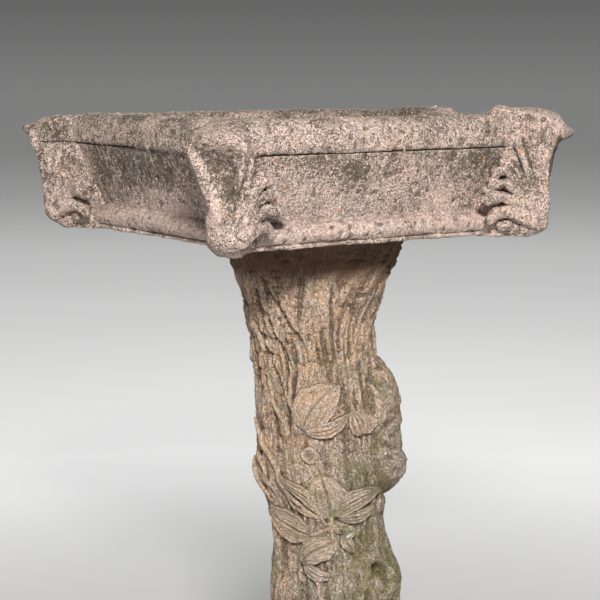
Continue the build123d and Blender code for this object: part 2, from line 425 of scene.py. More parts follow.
@dataclass
class BasinCasting:
    """The square basin's own surfaces: apron, bead, rim and bowl, without its corner leaves."""

    seat: float  # height of the underside above the ground
    plate_half: float = 152.0
    plate_top: float = 4.0
    bead_half: float = 157.0
    bead_radius: float = 10.0
    panel_foot_half: float = 147.0
    panel_head_half: float = 168.0
    seam: float = 88.0
    rim_half: float = 172.0
    crest: float = 119.0
    rim_width: float = 48.0
    bowl_depth: float = 46.0
    bowl_floor_half: float = 100.0
    socket_radius: float = 12.0
    socket_depth: float = 45.0
    corner_rise: float = 8.0  # of the rim at its right corner
    seam_fill: float = 2.2  # how far mortar brings the lip down where it fills the seam
    side_points: int = 190
    corner_points: int = 12
    noise: StoneNoise = field(default_factory=lambda: StoneNoise(11))

    LUMP, DENT, GRIT, FINE_GRIT, PIT = 0.9, 0.55, 0.42, 0.3, -1.3  # relief of the weathering, by kind
    SWELL, DIP, WANDER, TILT = 6.0, -3.0, 1.4, -1.6  # of the rim's crest along its far side and all over
    COVER, ON_TOP, IN_BOWL, ON_PANEL, IN_BAND = 0.27, 0.1, 0.4, 0.22, 0.55  # lichen, by place
    SHADED, PATCHY, ON_BEAD = 0.3, 0.4, -0.5

    def _loop(self, half: float, corner: float, height: float) -> Array:
        """Rounded square.

        Args:
            half: Half its width.
            corner: Its corner radius; as large as half, it is a circle.
            height: Above the underside.

        Returns:
            Points anticlockwise from above, shape (n, 3).
        """
        along = np.linspace(-1, 1, self.side_points)
        turn = np.linspace(0, math.pi / 2, self.corner_points + 2)[1:-1]
        straight = half - corner
        side = np.stack([along * straight, np.full_like(along, -half)], axis=1)
        arc = np.stack([straight + corner * np.sin(turn), -straight - corner * np.cos(turn)], axis=1)
        quarter = np.concatenate([side, arc])
        loop = []
        for c, s in ((1, 0), (0, 1), (-1, 0), (0, -1)):
            loop.append(quarter @ np.array([[c, s], [-s, c]]))
        flat = np.concatenate(loop)
        return np.column_stack([flat, np.full(len(flat), self.seat + height)])

    def _skin(self, runs: Sequence[tuple[Sequence[tuple[float, float, float]], float]]) -> tuple[Array, Array]:
        """Stack a loop for each station of a profile.

        Args:
            runs: Stretches of stations (half width, corner radius, height), each with its roughness.

        Returns:
            The loops, and each loop's roughness as a column.
        """
        loops = np.stack([self._loop(*station) for stations, _ in runs for station in stations])
        rough = np.concatenate([np.full(len(stations), strength) for stations, strength in runs])
        padded = np.pad(rough, 2, mode="edge")
        return loops, np.convolve(padded, np.full(5, 0.2), mode="valid")[:, None]

    def _filled(self, stations: Sequence[tuple[float, float, float]], spacing: float) -> list:
        """Add stations along a profile's straight runs.

        Args:
            stations: The profile's corners.
            spacing: The furthest that two stations may be apart.

        Returns:
            The stations.
        """
        filled = [stations[0]]
        for start, end in zip(stations, stations[1:]):
            run = math.hypot(end[0] - start[0], end[2] - start[2])
            count = max(1, round(run / spacing))
            for k in range(1, count + 1):
                filled.append(tuple(a + (b - a) * k / count for a, b in zip(start, end)))
        return filled

    def _arc(self, centre: tuple[float, float], radius: float, start: float, end: float, count: int,
             corner: float) -> list:
        """Stations round an arc in the profile, from degrees above straight outwards to others."""
        turns = np.radians(np.linspace(start, end, count))
        return [(centre[0] + radius * math.cos(t), corner, centre[1] + radius * math.sin(t)) for t in turns]

    def _weathered(self, loops: Array, strength: Array) -> SkinMesh:
        """Weather a skin: lumps, grit and pits pushed along its normals.

        Args:
            loops: The skin's loops.
            strength: How rough each loop is, shape (loops, 1).

        Returns:
            The closed skin.
        """
        noise = self.noise
        lumps = self.LUMP * noise.layered(loops, 46.0, 2) * np.minimum(strength, 1.0)
        dents = self.DENT * noise.layered(loops + 500, 13.0, 2)
        grit = self.GRIT * noise.at(loops + 900, 4.2) + self.FINE_GRIT * noise.at(loops + 1300, 2.3)
        pits = self.PIT * ease(noise.at(loops + 1700, 5.2), 0.48, 0.8)
        fine = dents + grit + pits
        moved = loops + loop_normals(loops) * (lumps + fine * strength)[..., None]
        mesh = SkinMesh()
        mesh.add_loops(moved, np.clip(fine * 0.8, -1, 1), self.stain(moved))
        return mesh

    def _left_side(self, points: Array) -> Array:
        """Which points are on the -X face, 0 to 1."""
        return ease(-points[..., 0], 140.0, 160.0)

    def _crest_lift(self, loops: Array) -> Array:
        """How much higher than its nominal height the worn rim stands.

        Args:
            loops: Points of the rim.

        Returns:
            The height to add at each.
        """
        x, y = loops[..., 0], loops[..., 1]
        from_right = ((self.rim_half - x) + (y + self.rim_half)) / math.sqrt(2)
        rise = self.corner_rise * ease(from_right, 47.0, 29.0)
        far_side = ease(x, 90.0, 130.0)
        swell = self.SWELL * far_side * bump(y, -34.0, 48.0) * ease(y, -76.0, -60.0)
        dip = self.DIP * far_side * bump(y, -96.0, 16.0)
        wander = self.WANDER * self.noise.at(loops + 77, 58.0)
        return rise + swell + dip + wander + self.TILT * (y / self.rim_half)

    def apron(self) -> SkinMesh:
        """Underside, socket, plate, bead and sloping panels, up to a hidden top inside the rim.

        Returns:
            The closed skin.
        """
        bead = self.bead_half - self.bead_radius
        bead_z = self.plate_top + self.bead_radius
        wide, head, seam = self.plate_half, self.panel_head_half, self.seam
        radius = self.socket_radius
        socket = [(2.0, 2.0, self.socket_depth), (radius, radius, self.socket_depth), (radius, radius, 0.0)]
        under = [(radius + 1.0, radius + 1.0, 0.0), (90.0, 60.0, 0.0), (148.0, 10.0, 0.0)]
        plate = [(151.0, 9.0, 0.4), (wide, 9.0, 1.5), (wide, 9.0, 3.2), (wide - 4.0, 9.0, self.plate_top + 0.2)]
        half_round = self._arc((bead, bead_z), self.bead_radius, -66, 78, 18, 9.0)
        middle = (self.panel_foot_half + head) / 2
        lower = self._filled([(self.panel_foot_half + 0.4, 10.0, 24.6), (middle, 11.0, 56.0)], 1.75)
        upper = self._filled([(middle + 0.6, 11.0, 57.8), (head, 12.0, seam - 0.6)], 1.75)
        hidden = [(head - 3.4, 12.0, seam + 0.2), (head - 8.0, 12.0, 92.0), (140.0, 30.0, 82.0),
                  (110.0, 26.0, 64.0), (60.0, 40.0, 62.0)]
        return self._weathered(*self._skin([
            (self._filled(socket, 8.0) + self._filled(under, 9.0), 0.0), (plate, 2.4), (half_round, 0.75),
            (lower, 0.8), (upper, 1.2), (hidden, 0.0)]))

    def rim(self) -> SkinMesh:
        """Rounded rim over the seam, and the bowl inside it.

        Returns:
            The closed skin.
        """
        round_off = 15.0
        shoulder = self.rim_half - round_off
        mouth = self.rim_half - self.rim_width
        floor = self.crest - self.bowl_depth
        head, seam = self.panel_head_half, self.seam
        hidden = [(60.0, 40.0, 60.0), (112.0, 26.0, 60.0), (140.0, 30.0, 80.0), (head - 8.0, 12.0, 90.0)]
        lip = [(head - 2.0, 14.0, seam + 1.0), (self.rim_half - 2.4, 18.0, seam + 1.1)]
        face = [(self.rim_half - 0.6, 20.0, seam + 3.0), (self.rim_half, 20.0, self.crest - round_off)]
        over = self._arc((shoulder, self.crest - round_off), round_off, 8, 86, 16, 22.0)
        top = [(shoulder - 2.0, 24.0, self.crest), (mouth + 13.0, 38.0, self.crest - 0.6)]
        inner = self._arc((mouth + 12.0, self.crest - 12.0), 12.0, 96, 156, 8, 44.0)
        wall = [(mouth - 1.5, 45.0, self.crest - 12.0), (self.bowl_floor_half + 6.0, 26.0, floor + 6.5)]
        bottom = [(self.bowl_floor_half - 6.0, 24.0, floor + 0.8), (70.0, 40.0, floor), (6.0, 6.0, floor)]
        loops, strength = self._skin([
            (hidden, 0.0), (lip + self._filled(face, 1.6) + over + self._filled(top, 1.9), 1.35),
            (inner + self._filled(wall, 2.4) + self._filled(bottom, 4.5), 0.8)])
        heights = loops[:, :1, 2] - self.seat
        halves = np.abs(loops[..., :2]).max(axis=(1, 2))[:, None]
        share = ease(heights, seam + 4.0, self.crest - 4.0) * ease(halves, mouth - 22.0, mouth)
        loops[..., 2] += self._crest_lift(loops) * share
        joint = np.arange(len(loops))[:, None] - len(hidden)
        filled = self._left_side(loops) * ease(loops[..., 1], 26.0, 14.0)
        loops[..., 2] -= self.seam_fill * filled * (np.abs(joint - 0.5) < 1.0)
        return self._weathered(loops, strength)

    def stain(self, points: Array) -> Array:
        """Where dark lichen takes hold: on top, in the bowl, in a band under the seam, and by the -X side.

        Args:
            points: Array of shape (..., 3), millimetres.

        Returns:
            Cover from 0 to 1.
        """
        height = points[..., 2] - self.seat
        half = np.abs(points[..., :2]).max(axis=-1)
        top = ease(height, self.crest - 9.0, self.crest - 1.0)
        bowl = ease(half, self.rim_half - 22.0, self.rim_half - 40.0)
        patchy = 0.5 + self.noise.at(points + 3000, 60.0)
        band = bump(height, 74.0, 15.0) * self.IN_BAND * patchy
        shaded = self.SHADED * self._left_side(points) * ease(height, 24.0, 36.0)
        panel = ease(height, 34.0, 62.0) * ease(height, 90.0, 84.0)
        cover = self.COVER + self.ON_TOP * top + self.IN_BOWL * bowl + self.ON_PANEL * panel + band + shaded
        cover += self.PATCHY * self.noise.at(points + 4000, 30.0)
        cover += self.ON_BEAD * bump(height, 15.0, 10.0) * (1 - bowl)
        return np.clip(cover, 0.0, 1.0)


@dataclass(frozen=True)
class LeafWear:
    """What time has done to the leaf at one corner, and painted shade under its lip. Lengths in mm, stain 0 to 1."""

    corner: Corner
    limits: tuple[float, float]  # how far the upper lobes reach on its -y and +y sides; below 0, no lobes
    tip_worn: float = 0.0
    hood_lift: float = 0.0
    foot: float = 0.0  # how much fuller its foot is
    shift: float = 0.0  # how far it sits towards its -y side
    spread: float = 1.0  # how much wider its -y side is
    under_lip_stain_and_shade: float = 0.0  # lichen stain and painted shade under the lip, on faces turned outwards
    wall_stain: float = 0.0  # on what faces -X


@dataclass(eq=False)
class CornerLeaf:
    """Curled acanthus leaf that brackets one corner, carved as a field of distances.

    In its own frame x runs out along the diagonal from the rim's square corner, y across, z up from the
    basin's underside. A lobe's path runs along the side face: along it from the corner, out from the rim's
    face, height, radius.
    """

    rim_half: float
    seat: float
    step: float = 1.15
    noise: StoneNoise = field(default_factory=lambda: StoneNoise(23))

    REACH = ((-4, -4), (2, 7), (8, 16), (16, 20.5), (28, 21.5), (42, 21), (56, 22), (70, 25), (82, 30), (93, 38.5),
             (101, 45.5), (108, 48.5), (114, 47))
    HALF_WIDTH = ((-4, 9), (3, 13), (10, 15), (20, 15.5), (32, 15), (45, 14), (60, 17), (74, 21), (86, 24),
                  (98, 25.5), (120, 26))
    BACK_HALF_WIDTH = 15.0
    TROUGH_WIDTH = ((34, 2), (44, 6), (56, 10.5), (68, 14.5), (80, 18), (92, 20.5), (100, 21), (114, 20))
    TROUGH_DEPTH = ((34, 1), (44, 4), (56, 6.5), (68, 8), (80, 10), (88, 10.5), (94, 8.5), (99, 5), (105, 1.5))
    MARGIN = ((22.5, 99, 3.6), (21.0, 90, 3.8), (17.5, 77, 3.8), (13.5, 63, 3.6), (9.5, 50, 3.3), (6.5, 38, 3.2),
              (3.5, 26, 3.0))
    HOOD = ((-50, 118.5), (2, 118.2), (16, 116.5), (26, 113), (35, 109), (42, 105.5), (50, 101))
    HOOD_DROOP = 0.0165  # how fast the hood falls away each side of its middle
    TIP_ROUND = 0.0135  # how fast its lip draws back
    LOBES = (
        ((20, 7, 92, 5.6), (17, 10, 82, 5.2), (13, 12, 69, 4.8), (9, 14, 54, 4.4), (4, 16, 40, 4.2)),
        ((36, 2, 74, 4.2), (31, 6, 73, 4.8), (24, 9, 65, 4.8), (15, 12, 52, 4.4), (8, 15, 38, 4.0)),
        ((46, -3, 57, 4.2), (42, 3, 65, 5.0), (34, 6, 66, 5.2), (25, 9, 58, 4.9), (16, 12, 45, 4.6),
         (9, 15, 31, 4.4)),
        ((51, -4, 47, 4.2), (45, 2, 52, 4.8), (35, 5, 53, 5.0), (25, 8, 46, 4.7), (16, 11, 35, 4.5)),
        ((57, 2, 37, 6.2), (49, 5, 40, 6.6), (37, 5, 40, 5.4), (25, 8, 34, 5.2), (14, 12, 25, 6.0), (6, 15, 19, 6.8)),
        ((48, -2, 17, 5.0), (41, 0, 24, 6.0), (30, 4, 25, 6.4), (18, 9, 20, 6.6), (8, 13, 14, 6.6)),
    )
    WEB_SHARE = 0.5  # radius of a lobe's root behind it, of the lobe's own
    WORN_ABOVE = 48.0  # lobes this high have weathered away beyond a leaf's limits
    SEAM = (88.6, 1.2, 18.0)  # height, half gap and furthest reach of the seam where it runs on across a leaf
    EGG = ((25.0, -6.0, 11.5), (11.0, 9.5, 8.5))  # the bulb: its centre, and half sizes along, out and up

    def _capsules(self, axes: tuple[Array, ...], path: Sequence[tuple[float, ...]], squeeze: float = 1.0) -> Array:
        """Distance to a chain of round-ended cones.

        Args:
            axes: Coordinates of every value, one array for each axis of the path.
            path: Points of the chain, with a radius last.
            squeeze: Scale of the second axis, below 1 to stretch the chain along it.

        Returns:
            The distances.
        """
        best = np.full(axes[0].shape, 1e3)
        for start, end in zip(path, path[1:]):
            run = np.array(end[:-1], float) - np.array(start[:-1], float)
            run[1] *= squeeze
            offset = [axis - place for axis, place in zip(axes, start[:-1])]
            offset[1] = offset[1] * squeeze
            share = sum(o * r for o, r in zip(offset, run)) / (run @ run)
            share = np.clip(share, 0.0, 1.0)
            away = np.sqrt(sum((o - share * r) ** 2 for o, r in zip(offset, run)))
            best = np.minimum(best, away - (start[-1] + (end[-1] - start[-1]) * share))
        return best

    def _drawn_back(self, across: Array, height: Array) -> Array:
        """How far the leaf's lip draws back, away from its middle and towards its top."""
        return self.TIP_ROUND * across**2 * (ease(height, 46.0, 84.0) + ease(height, 84.0, 100.0))

    def _half_width(self, x: Array, z: Array) -> Array:
        """Half the leaf's width over x and z; behind the rim's corner it is no wider than its back."""
        width = curve(z[:1, :1], self.HALF_WIDTH)
        spread = np.maximum(width - self.BACK_HALF_WIDTH, 0.0)
        return width - spread * (1.0 - ease(x[:, :1, :1], -6.0, 14.0))

    def _stem(self, x: Array, y: Array, z: Array) -> Array:
        """The leaf without its lobes: a stem under a hood, with a trough down its middle and a raised margin.

        Args:
            x: Out along the diagonal from the rim's corner.
            y: Across.
            z: Height.

        Returns:
            Distances to its surface.
        """
        reach, half_width = curve(z[:1, :1], self.REACH), self._half_width(x, z)
        soft = np.minimum(half_width, 13.0)
        mid, half_run = (reach - 70.0) / 2, (reach + 70.0) / 2
        drawn_back = self._drawn_back(y, z)
        run = np.abs(x + drawn_back - mid) - half_run + soft
        body = np.hypot(np.maximum(run, 0), np.maximum(y - half_width + soft, 0)) - soft
        top = curve(x[:, :1, :1], self.HOOD) - self.HOOD_DROOP * np.maximum(y - 3.0, 0.0) ** 2
        body = soft_cut(body, (top - z) * 0.8, 5.0)
        body = np.maximum(body, -z - 1.5)
        width, depth = curve(z[:1, :1], self.TROUGH_WIDTH), curve(z[:1, :1], self.TROUGH_DEPTH)
        ring = np.hypot((x + drawn_back - reach - 2.0) / depth, y / width) - 1.0
        body = soft_cut(body, np.maximum(ring * np.minimum(depth, width), 34.0 - z), 3.0)
        margin = [(float(curve(np.array(h), self.REACH) - 3.0 - self._drawn_back(np.array(a), np.array(h))), a, h, r)
                  for a, h, r in self.MARGIN]
        return soft_union(body, self._capsules((x, y, z), margin), 2.5)

    def _with_lobes(self, body: Array, axes: tuple[Array, ...], limit: float) -> Array:
        """Add the side lobes, each with a web behind it, and the bulb that they curl round.

        Args:
            body: Distances to the leaf so far.
            axes: Along the face, out from it, and height.
            limit: How far along the face the upper lobes still reach.

        Returns:
            The distances with them.
        """
        for lobe in self.LOBES:
            left = [(a, p + 1.3, h, r) for a, p, h, r in lobe if h < self.WORN_ABOVE or a <= limit]
            body = soft_union(body, self._capsules(axes, left), 1.1)
            root = [(a, p - 8.0, h, r * self.WEB_SHARE) for a, p, h, r in left[1:]]
            if len(root) > 1:
                body = soft_union(body, self._capsules(axes, root, 0.6), 2.6)
        centre, half = self.EGG
        egg = np.sqrt(sum(((axis - c) / h) ** 2 for axis, c, h in zip(axes, centre, half))) - 1.0
        return np.minimum(body, egg * min(half))

    @functools.lru_cache(maxsize=4)
    def _half(self, limit: float) -> tuple[Array, Array]:
        """Carve the half of the leaf where y is above 0.

        Args:
            limit: How far along the face its upper lobes still reach, millimetres; below 0, no lobes.

        Returns:
            The field over that half, and the place of its first value.
        """
        step = self.step
        xs = np.arange(-52.0, 52.0, step)
        ys = np.arange(0.0, 80.0, step) + step / 2
        zs = np.arange(-6.0, 128.0, step)
        x, y, z = np.meshgrid(xs, ys, zs, indexing="ij")
        body = self._stem(x, y, z)
        if limit > 0.0:
            body = self._with_lobes(body, ((y - x) / math.sqrt(2), (x + y) / math.sqrt(2), z), limit)
        if 0.0 < limit < self.LOBES[0][0][0]:
            seam_height, half_gap, furthest = self.SEAM
            seam = np.maximum(np.abs(z - seam_height) - half_gap, self._half_width(x, z) - 3.5 - y)
            body = np.maximum(body, -np.maximum(seam, x - furthest))
        body = np.maximum(body, -50.0 - x)
        return np.maximum(body, z - 122.0), np.array([xs[0] - step, -ys[-1] - step, zs[0] - step])

    def carve(self, limits: tuple[float, float]) -> tuple[Array, Array]:
        """Skin the carved leaf, in its own frame.

        Args:
            limits: How far its upper lobes still reach on its -y side and on its +y side, millimetres.

        Returns:
            Points and quads.
        """
        (minus, origin), (plus, _) = (self._half(limit) for limit in limits)
        whole = np.pad(np.concatenate([minus[:, ::-1], plus], axis=1), 1, constant_values=2.0)
        return skin_of_field(whole, origin, self.step)

    def _worn(self, points: Array, wear: LeafWear) -> None:
        """Move the leaf's points by what time has done to it.

        Args:
            points: The points in the leaf's own frame, which are changed.
            wear: What time has done.
        """
        high = ease(points[:, 2], 84.0, 104.0)
        far_out = np.maximum(points[:, 0] - 12.0, 0.0) / 32.0
        raised = ease(points[:, 2], 88.0, 112.0) * ease(points[:, 0], 38.0, 29.0)
        raised = raised * ease(points[:, 0], -44.0, -18.0)
        points[:, 2] += wear.hood_lift * raised
        points[:, 0] -= wear.tip_worn * high * far_out
        points[:, 0] += wear.foot * bump(points[:, 2], 3.0, 8.0) * ease(points[:, 0], -8.0, 6.0)
        points[:, 1] *= np.where(points[:, 1] < 0.0, wear.spread, 1.0)
        points[:, 0] += 0.9 * wear.shift * np.tanh(points[:, 1] / 22.0)
        points[:, 1] -= wear.shift

    def place(self, wear: LeafWear) -> SkinMesh:
        """Turn the leaf to a corner, weather it there and paint shade under its lip.

        Args:
            wear: Which corner, and what time has done to it.

        Returns:
            The closed skin.
        """
        points, quads = self.carve(wear.limits)
        self._worn(points, wear)
        out, across, z = points.T
        turn = math.radians(wear.corner.value)
        reach = self.rim_half * math.sqrt(2) + out
        placed = np.column_stack([
            reach * math.cos(turn) - across * math.sin(turn),
            reach * math.sin(turn) + across * math.cos(turn),
            z + self.seat,
        ])
        normal = point_normals(placed, quads)
        noise = self.noise
        rough = 0.8 * noise.layered(placed, 12.0, 2) + 0.4 * noise.at(placed + 900, 4.0)
        rough += 0.3 * noise.at(placed + 1300, 2.4) - 1.2 * ease(noise.at(placed + 1700, 5.0), 0.5, 0.8)
        trough = bump(np.abs(across), 0.0, 20.0) * ease(z, 40.0, 70.0) * ease(z, 112.0, 98.0)
        outward = normal[:, 0] * math.cos(turn) + normal[:, 1] * math.sin(turn)
        under_lip = ease(z, 50.0, 80.0) * ease(z, 102.0, 96.0)
        hollow = ease(outward, 0.2, 0.7) * under_lip
        stain = 0.42 + 0.3 * trough * ease(out, 4.0, 14.0) + 0.4 * noise.at(placed + 4000, 22.0)
        stain += wear.under_lip_stain_and_shade * hollow
        stain += wear.wall_stain * ease(-normal[:, 0], 0.4, 0.8) * ease(z, 46.0, 60.0)
        # Painted shade under the lip: the relief is pushed down there so the hollow colour darkens it; the stain
        # above is real lichen.
        relief = np.clip(rough * 0.7 - 0.9 * wear.under_lip_stain_and_shade * hollow, -1, 1)
        mesh = SkinMesh()
        mesh.add(placed + normal * rough[:, None], quads, relief, np.clip(stain, 0, 1))
        return mesh


# --- Trunk ---


@dataclass(frozen=True)
class Burl:
    """Swelling on the trunk: where it is, its half sizes and how far it stands out, in degrees and mm."""

    turn: float
    height: float
    half_across: float
    half_up: float
    proud: float


@dataclass(frozen=True)
class Fissure:
    """Deep crack in the bark: its upper and lower ends (degrees, mm), depth and width."""

    upper: tuple[float, float]
    lower: tuple[float, float]
    depth: float
    width: float


@dataclass
class TrunkCasting:
    """The pedestal: a gnarled trunk with bark, burls, a knot hole and a root flare.

    Places on it are given as degrees round from its front, growing to the right, and height in mm.
    """

    height: float
    lean: float = math.radians(-33.7)
    columns: int = 300
    rows_above: int = 262
    rows_below: int = 66
    fine_from: float = 190.0
    socket_radius: float = 11.3
    noise: StoneNoise = field(default_factory=lambda: StoneNoise(37))

    CENTRE = ((0, 30), (60, 33), (130, 42), (190, 48.5), (221, 49.5), (254, 44.5), (281, 40), (303, 39.5),
              (335, 35.5), (384, 32), (421, 31), (469, 28), (496, 24.5), (517, 24.7), (585, 25))
    RADIUS = ((0, 116), (24, 104), (60, 88), (100, 76), (150, 68), (193, 67), (221, 67), (237, 65), (254, 60.6),
              (281, 57.2), (303, 59.8), (325, 65), (335, 68), (362, 65), (421, 63), (448, 61.5), (469, 61.4),
              (496, 64.4), (517, 69.7), (543, 77.9), (564, 85.5), (585, 92))
    BURLS = (
        Burl(92, 409, 49, 50, 22.5),
        Burl(93, 359, 45, 48, 21.5),
        Burl(198, 330, 34, 40, 15),
        Burl(168, 468, 27, 30, 8),
        Burl(232, 170, 32, 36, 12),
        Burl(120, 150, 30, 40, 12),
    )
    FISSURES = (
        Fissure((12, 546), (14, 486), 5.0, 1.7),
        Fissure((16, 500), (13, 452), 3.4, 1.6),
        Fissure((-24, 452), (-31, 392), 4.0, 2.4),
        Fissure((-62, 545), (-28, 452), 3.6, 2.2),
        Fissure((-48, 556), (-12, 478), 3.0, 2.0),
        Fissure((-70, 500), (-38, 425), 3.4, 2.2),
        Fissure((52, 440), (48, 372), 4.2, 2.6),
        Fissure((60, 330), (52, 268), 3.2, 2.4),
        Fissure((140, 540), (150, 400), 4.0, 2.6),
        Fissure((185, 560), (176, 430), 4.0, 2.6),
        Fissure((222, 500), (230, 300), 4.2, 2.8),
        Fissure((262, 420), (250, 250), 3.8, 2.6),
        Fissure((130, 300), (142, 180), 3.8, 2.6),
        Fissure((-8, 250), (-14, 150), 3.4, 2.4),
        Fissure((28, 230), (18, 120), 3.4, 2.6),
        Fissure((178, 260), (186, 90), 4.2, 3.0),
    )
    KNOT = Burl(43, 232, 14, 17, 19)
    RIDGE, FURROW, THREAD, CHECK, GRIT, LUMP = 1.6, 1.35, 0.85, 1.8, 0.6, 1.7  # relief of the bark, by kind
    CRACKED, HEAPED = 1.25, 0.35  # how deep a fissure is and how high its edges, of its stated depth
    BURL_RING, KNOT_RING = 1.3, 4.5  # groove round a burl and lip round the knot hole
    DRUM = 65.0  # radius of the drum on which lengths round the trunk and its noise are measured

    def centre(self, height: Array) -> Array:
        """Plan places of the trunk's centre at some heights, shape (..., 2)."""
        offset = curve(height, self.CENTRE)
        return np.stack([offset * math.cos(self.lean), offset * math.sin(self.lean)], axis=-1)

    def _run_round(self, turn: Array) -> Array:
        """Length round the drum of a turn, the shorter way."""
        return wrapped(turn) * math.pi / 180.0 * self.DRUM

    def _away(self, turn: Array, height: Array, place: Burl) -> Array:
        """Distance from a swelling's middle, where its edge is 1."""
        across = self._run_round(turn - place.turn)
        return np.hypot(across / place.half_across, (height - place.height) / place.half_up)

    def broad_radius(self, turn: Array, height: Array) -> Array:
        """Radius of the trunk without its bark: outline, burls, roots and lumps.

        Args:
            turn: Degrees round from the front.
            height: Above the ground.

        Returns:
            Radii of the same shape.
        """
        radius = curve(height, self.RADIUS)
        wave = np.cos(np.radians(5 * turn + 40.0)) + 0.45 * np.cos(np.radians(3 * turn - 65.0))
        radius += wave * (2.0 + 11.0 * ease(height, 150.0, 0.0))
        radius += 1.4 * np.cos(np.radians(7 * turn + 0.5 * height)) * ease(height, 560.0, 480.0)
        swell = np.zeros_like(radius)
        for burl in self.BURLS:
            away = self._away(turn, height, burl)
            lobe = burl.proud * np.clip(1.0 - away**2, 0.0, 1.0) ** 0.68
            swell = (swell**4 + lobe**4) ** 0.25
        return radius + swell

    def point(self, turn: Array, height: Array, proud: Array) -> Array:
        """Places on or above the trunk.

        Args:
            turn: Degrees round from the front.
            height: Above the ground.
            proud: How far outside the broad surface.

        Returns:
            Points of shape (..., 3).
        """
        turn, height, proud = np.broadcast_arrays(*(np.asarray(v, float) for v in (turn, height, proud)))
        radius = self.broad_radius(turn, height) + proud
        angle = np.radians(turn) + TRUNK_FRONT
        plan = self.centre(height) + np.stack([radius * np.cos(angle), radius * np.sin(angle)], axis=-1)
        return np.concatenate([plan, height[..., None]], axis=-1)

    def _grain(self, turn: Array, height: Array) -> Array:
        """Points on a drum where noise is read, drawn out along the bark's flow.

        Args:
            turn: Degrees round from the front.
            height: Above the ground.

        Returns:
            Points of shape (..., 3).
        """
        fan = 0.34 * np.clip(height - 432.0, 0, 130) * bump(turn, -50.0, 34.0)
        lean = 0.16 * np.clip(height - 470.0, 0, 110) * bump(turn, 58.0, 34.0)
        around = np.radians(turn + fan - lean + 7.0 * np.sin(height / 61.0))
        return np.stack([self.DRUM * np.cos(around), self.DRUM * np.sin(around), height], axis=-1)

    def _fissured(self, proud: Array, turn: Array, height: Array, drum: Array) -> Array:
        """Sink the fissures in a relief and heap up their edges.

        Args:
            proud: How far the bark stands out.
            turn: Degrees round from the front.
            height: Above the ground.
            drum: Where noise is read.

        Returns:
            The relief with them.
        """
        for crack in self.FISSURES:
            (start, top), (end, foot) = crack.upper, crack.lower
            line = start + np.clip((top - height) / (top - foot), 0.0, 1.0) * (end - start)
            line = line + 2.2 * self.noise.at(drum * np.array((0.05, 0.05, 1.0)) + top, 11.0)
            across = self._run_round(turn - line)
            ends = ease(height, top + 6, top - 14) * ease(height, foot - 6, foot + 14)
            proud = proud - self.CRACKED * crack.depth * ends * bump(across, 0.0, crack.width)
            proud = proud + self.HEAPED * crack.depth * ends * bump(across, 2.3 * crack.width, crack.width)
        return proud

    def _bark(self, turn: Array, height: Array) -> tuple[Array, Array]:
        """Relief of the bark.

        Args:
            turn: Degrees round from the front.
            height: Above the ground.

        Returns:
            How far it stands out, and the same from -1 to 1 for the material, pushed down near the top as painted
            shadow under the basin.
        """
        drum = self._grain(turn, height)
        noise = self.noise
        drawn_out = drum * np.array((1.0, 1.0, 0.13))
        bent = drawn_out + 1.6 * noise.at(drum * 0.6 + 60, 9.0)[..., None]
        ridges = 1.0 - 2.6 * np.abs(noise.at(bent, 8.5)) ** 0.75
        furrows = 1.0 - 2.6 * np.abs(noise.at(bent * np.array((1, 1, 0.8)) + 200, 4.8)) ** 0.75
        threads = noise.at(drawn_out * np.array((1, 1, 1.4)) + 400, 3.0)
        checks = -ease(noise.at(drum * np.array((0.8, 0.8, 2.3)) + 600, 8.0), 0.36, 0.62)
        grit = noise.at(drum + 800, 3.4)
        lumps = noise.layered(drum + 1000, 30.0, 2)
        burl = np.zeros_like(turn)
        for place in self.BURLS[:4]:
            burl = np.maximum(burl, ease(self._away(turn, height, place), 1.0, 0.8))
        upper = 0.75 + 0.45 * ease(height, 400.0, 480.0) + 0.3 * ease(height, 230.0, 120.0)
        bark = self.RIDGE * ridges + self.FURROW * furrows + self.THREAD * threads + self.CHECK * checks
        strength = upper * (1.0 - 0.7 * burl)
        rough_burl = burl * (1.3 * noise.at(drum + 1400, 7.0) + 0.7 * grit)
        proud = bark * strength + self.GRIT * grit + self.LUMP * lumps + rough_burl
        proud = self._fissured(proud, turn, height, drum)
        for place in self.BURLS:
            proud -= self.BURL_RING * bump(self._away(turn, height, place), 1.02, 0.08)
        knot = self._away(turn, height, self.KNOT)
        proud += self.KNOT_RING * bump(knot, 1.25, 0.3) - self.KNOT.proud * ease(knot, 1.1, 0.5)
        # Painted shadow cast by the basin: near the top the material relief is pushed down so the hollow colour
        # darkens the trunk.
        painted_shadow = 0.9 * ease(height, self.height - 44.0, self.height - 14.0)
        relief = np.clip((proud - self.LUMP * lumps) / 2.5 - painted_shadow, -1.0, 1.0)
        return proud, relief

    def moss(self, turn: Array, height: Array) -> Array:
        """Where moss and pale lichen take hold: low down, and on the right side of the front.

        Args:
            turn: Degrees round from the front.
            height: Above the ground.

        Returns:
            Cover from 0 to 1.
        """
        side = bump(wrapped(turn - 50.0), 0.0, 70.0)
        low = ease(height, 470.0, 250.0)
        drum = self._grain(turn, height)
        cover = 0.05 + 0.6 * low * (0.5 + 0.5 * side) + 0.28 * side * ease(height, 520.0, 430.0)
        cover += 0.7 * ease(self._away(turn, height, self.KNOT), 1.1, 0.6)
        return np.clip(cover + 0.18 * self.noise.at(drum + 5000, 34.0), 0.0, 1.0)

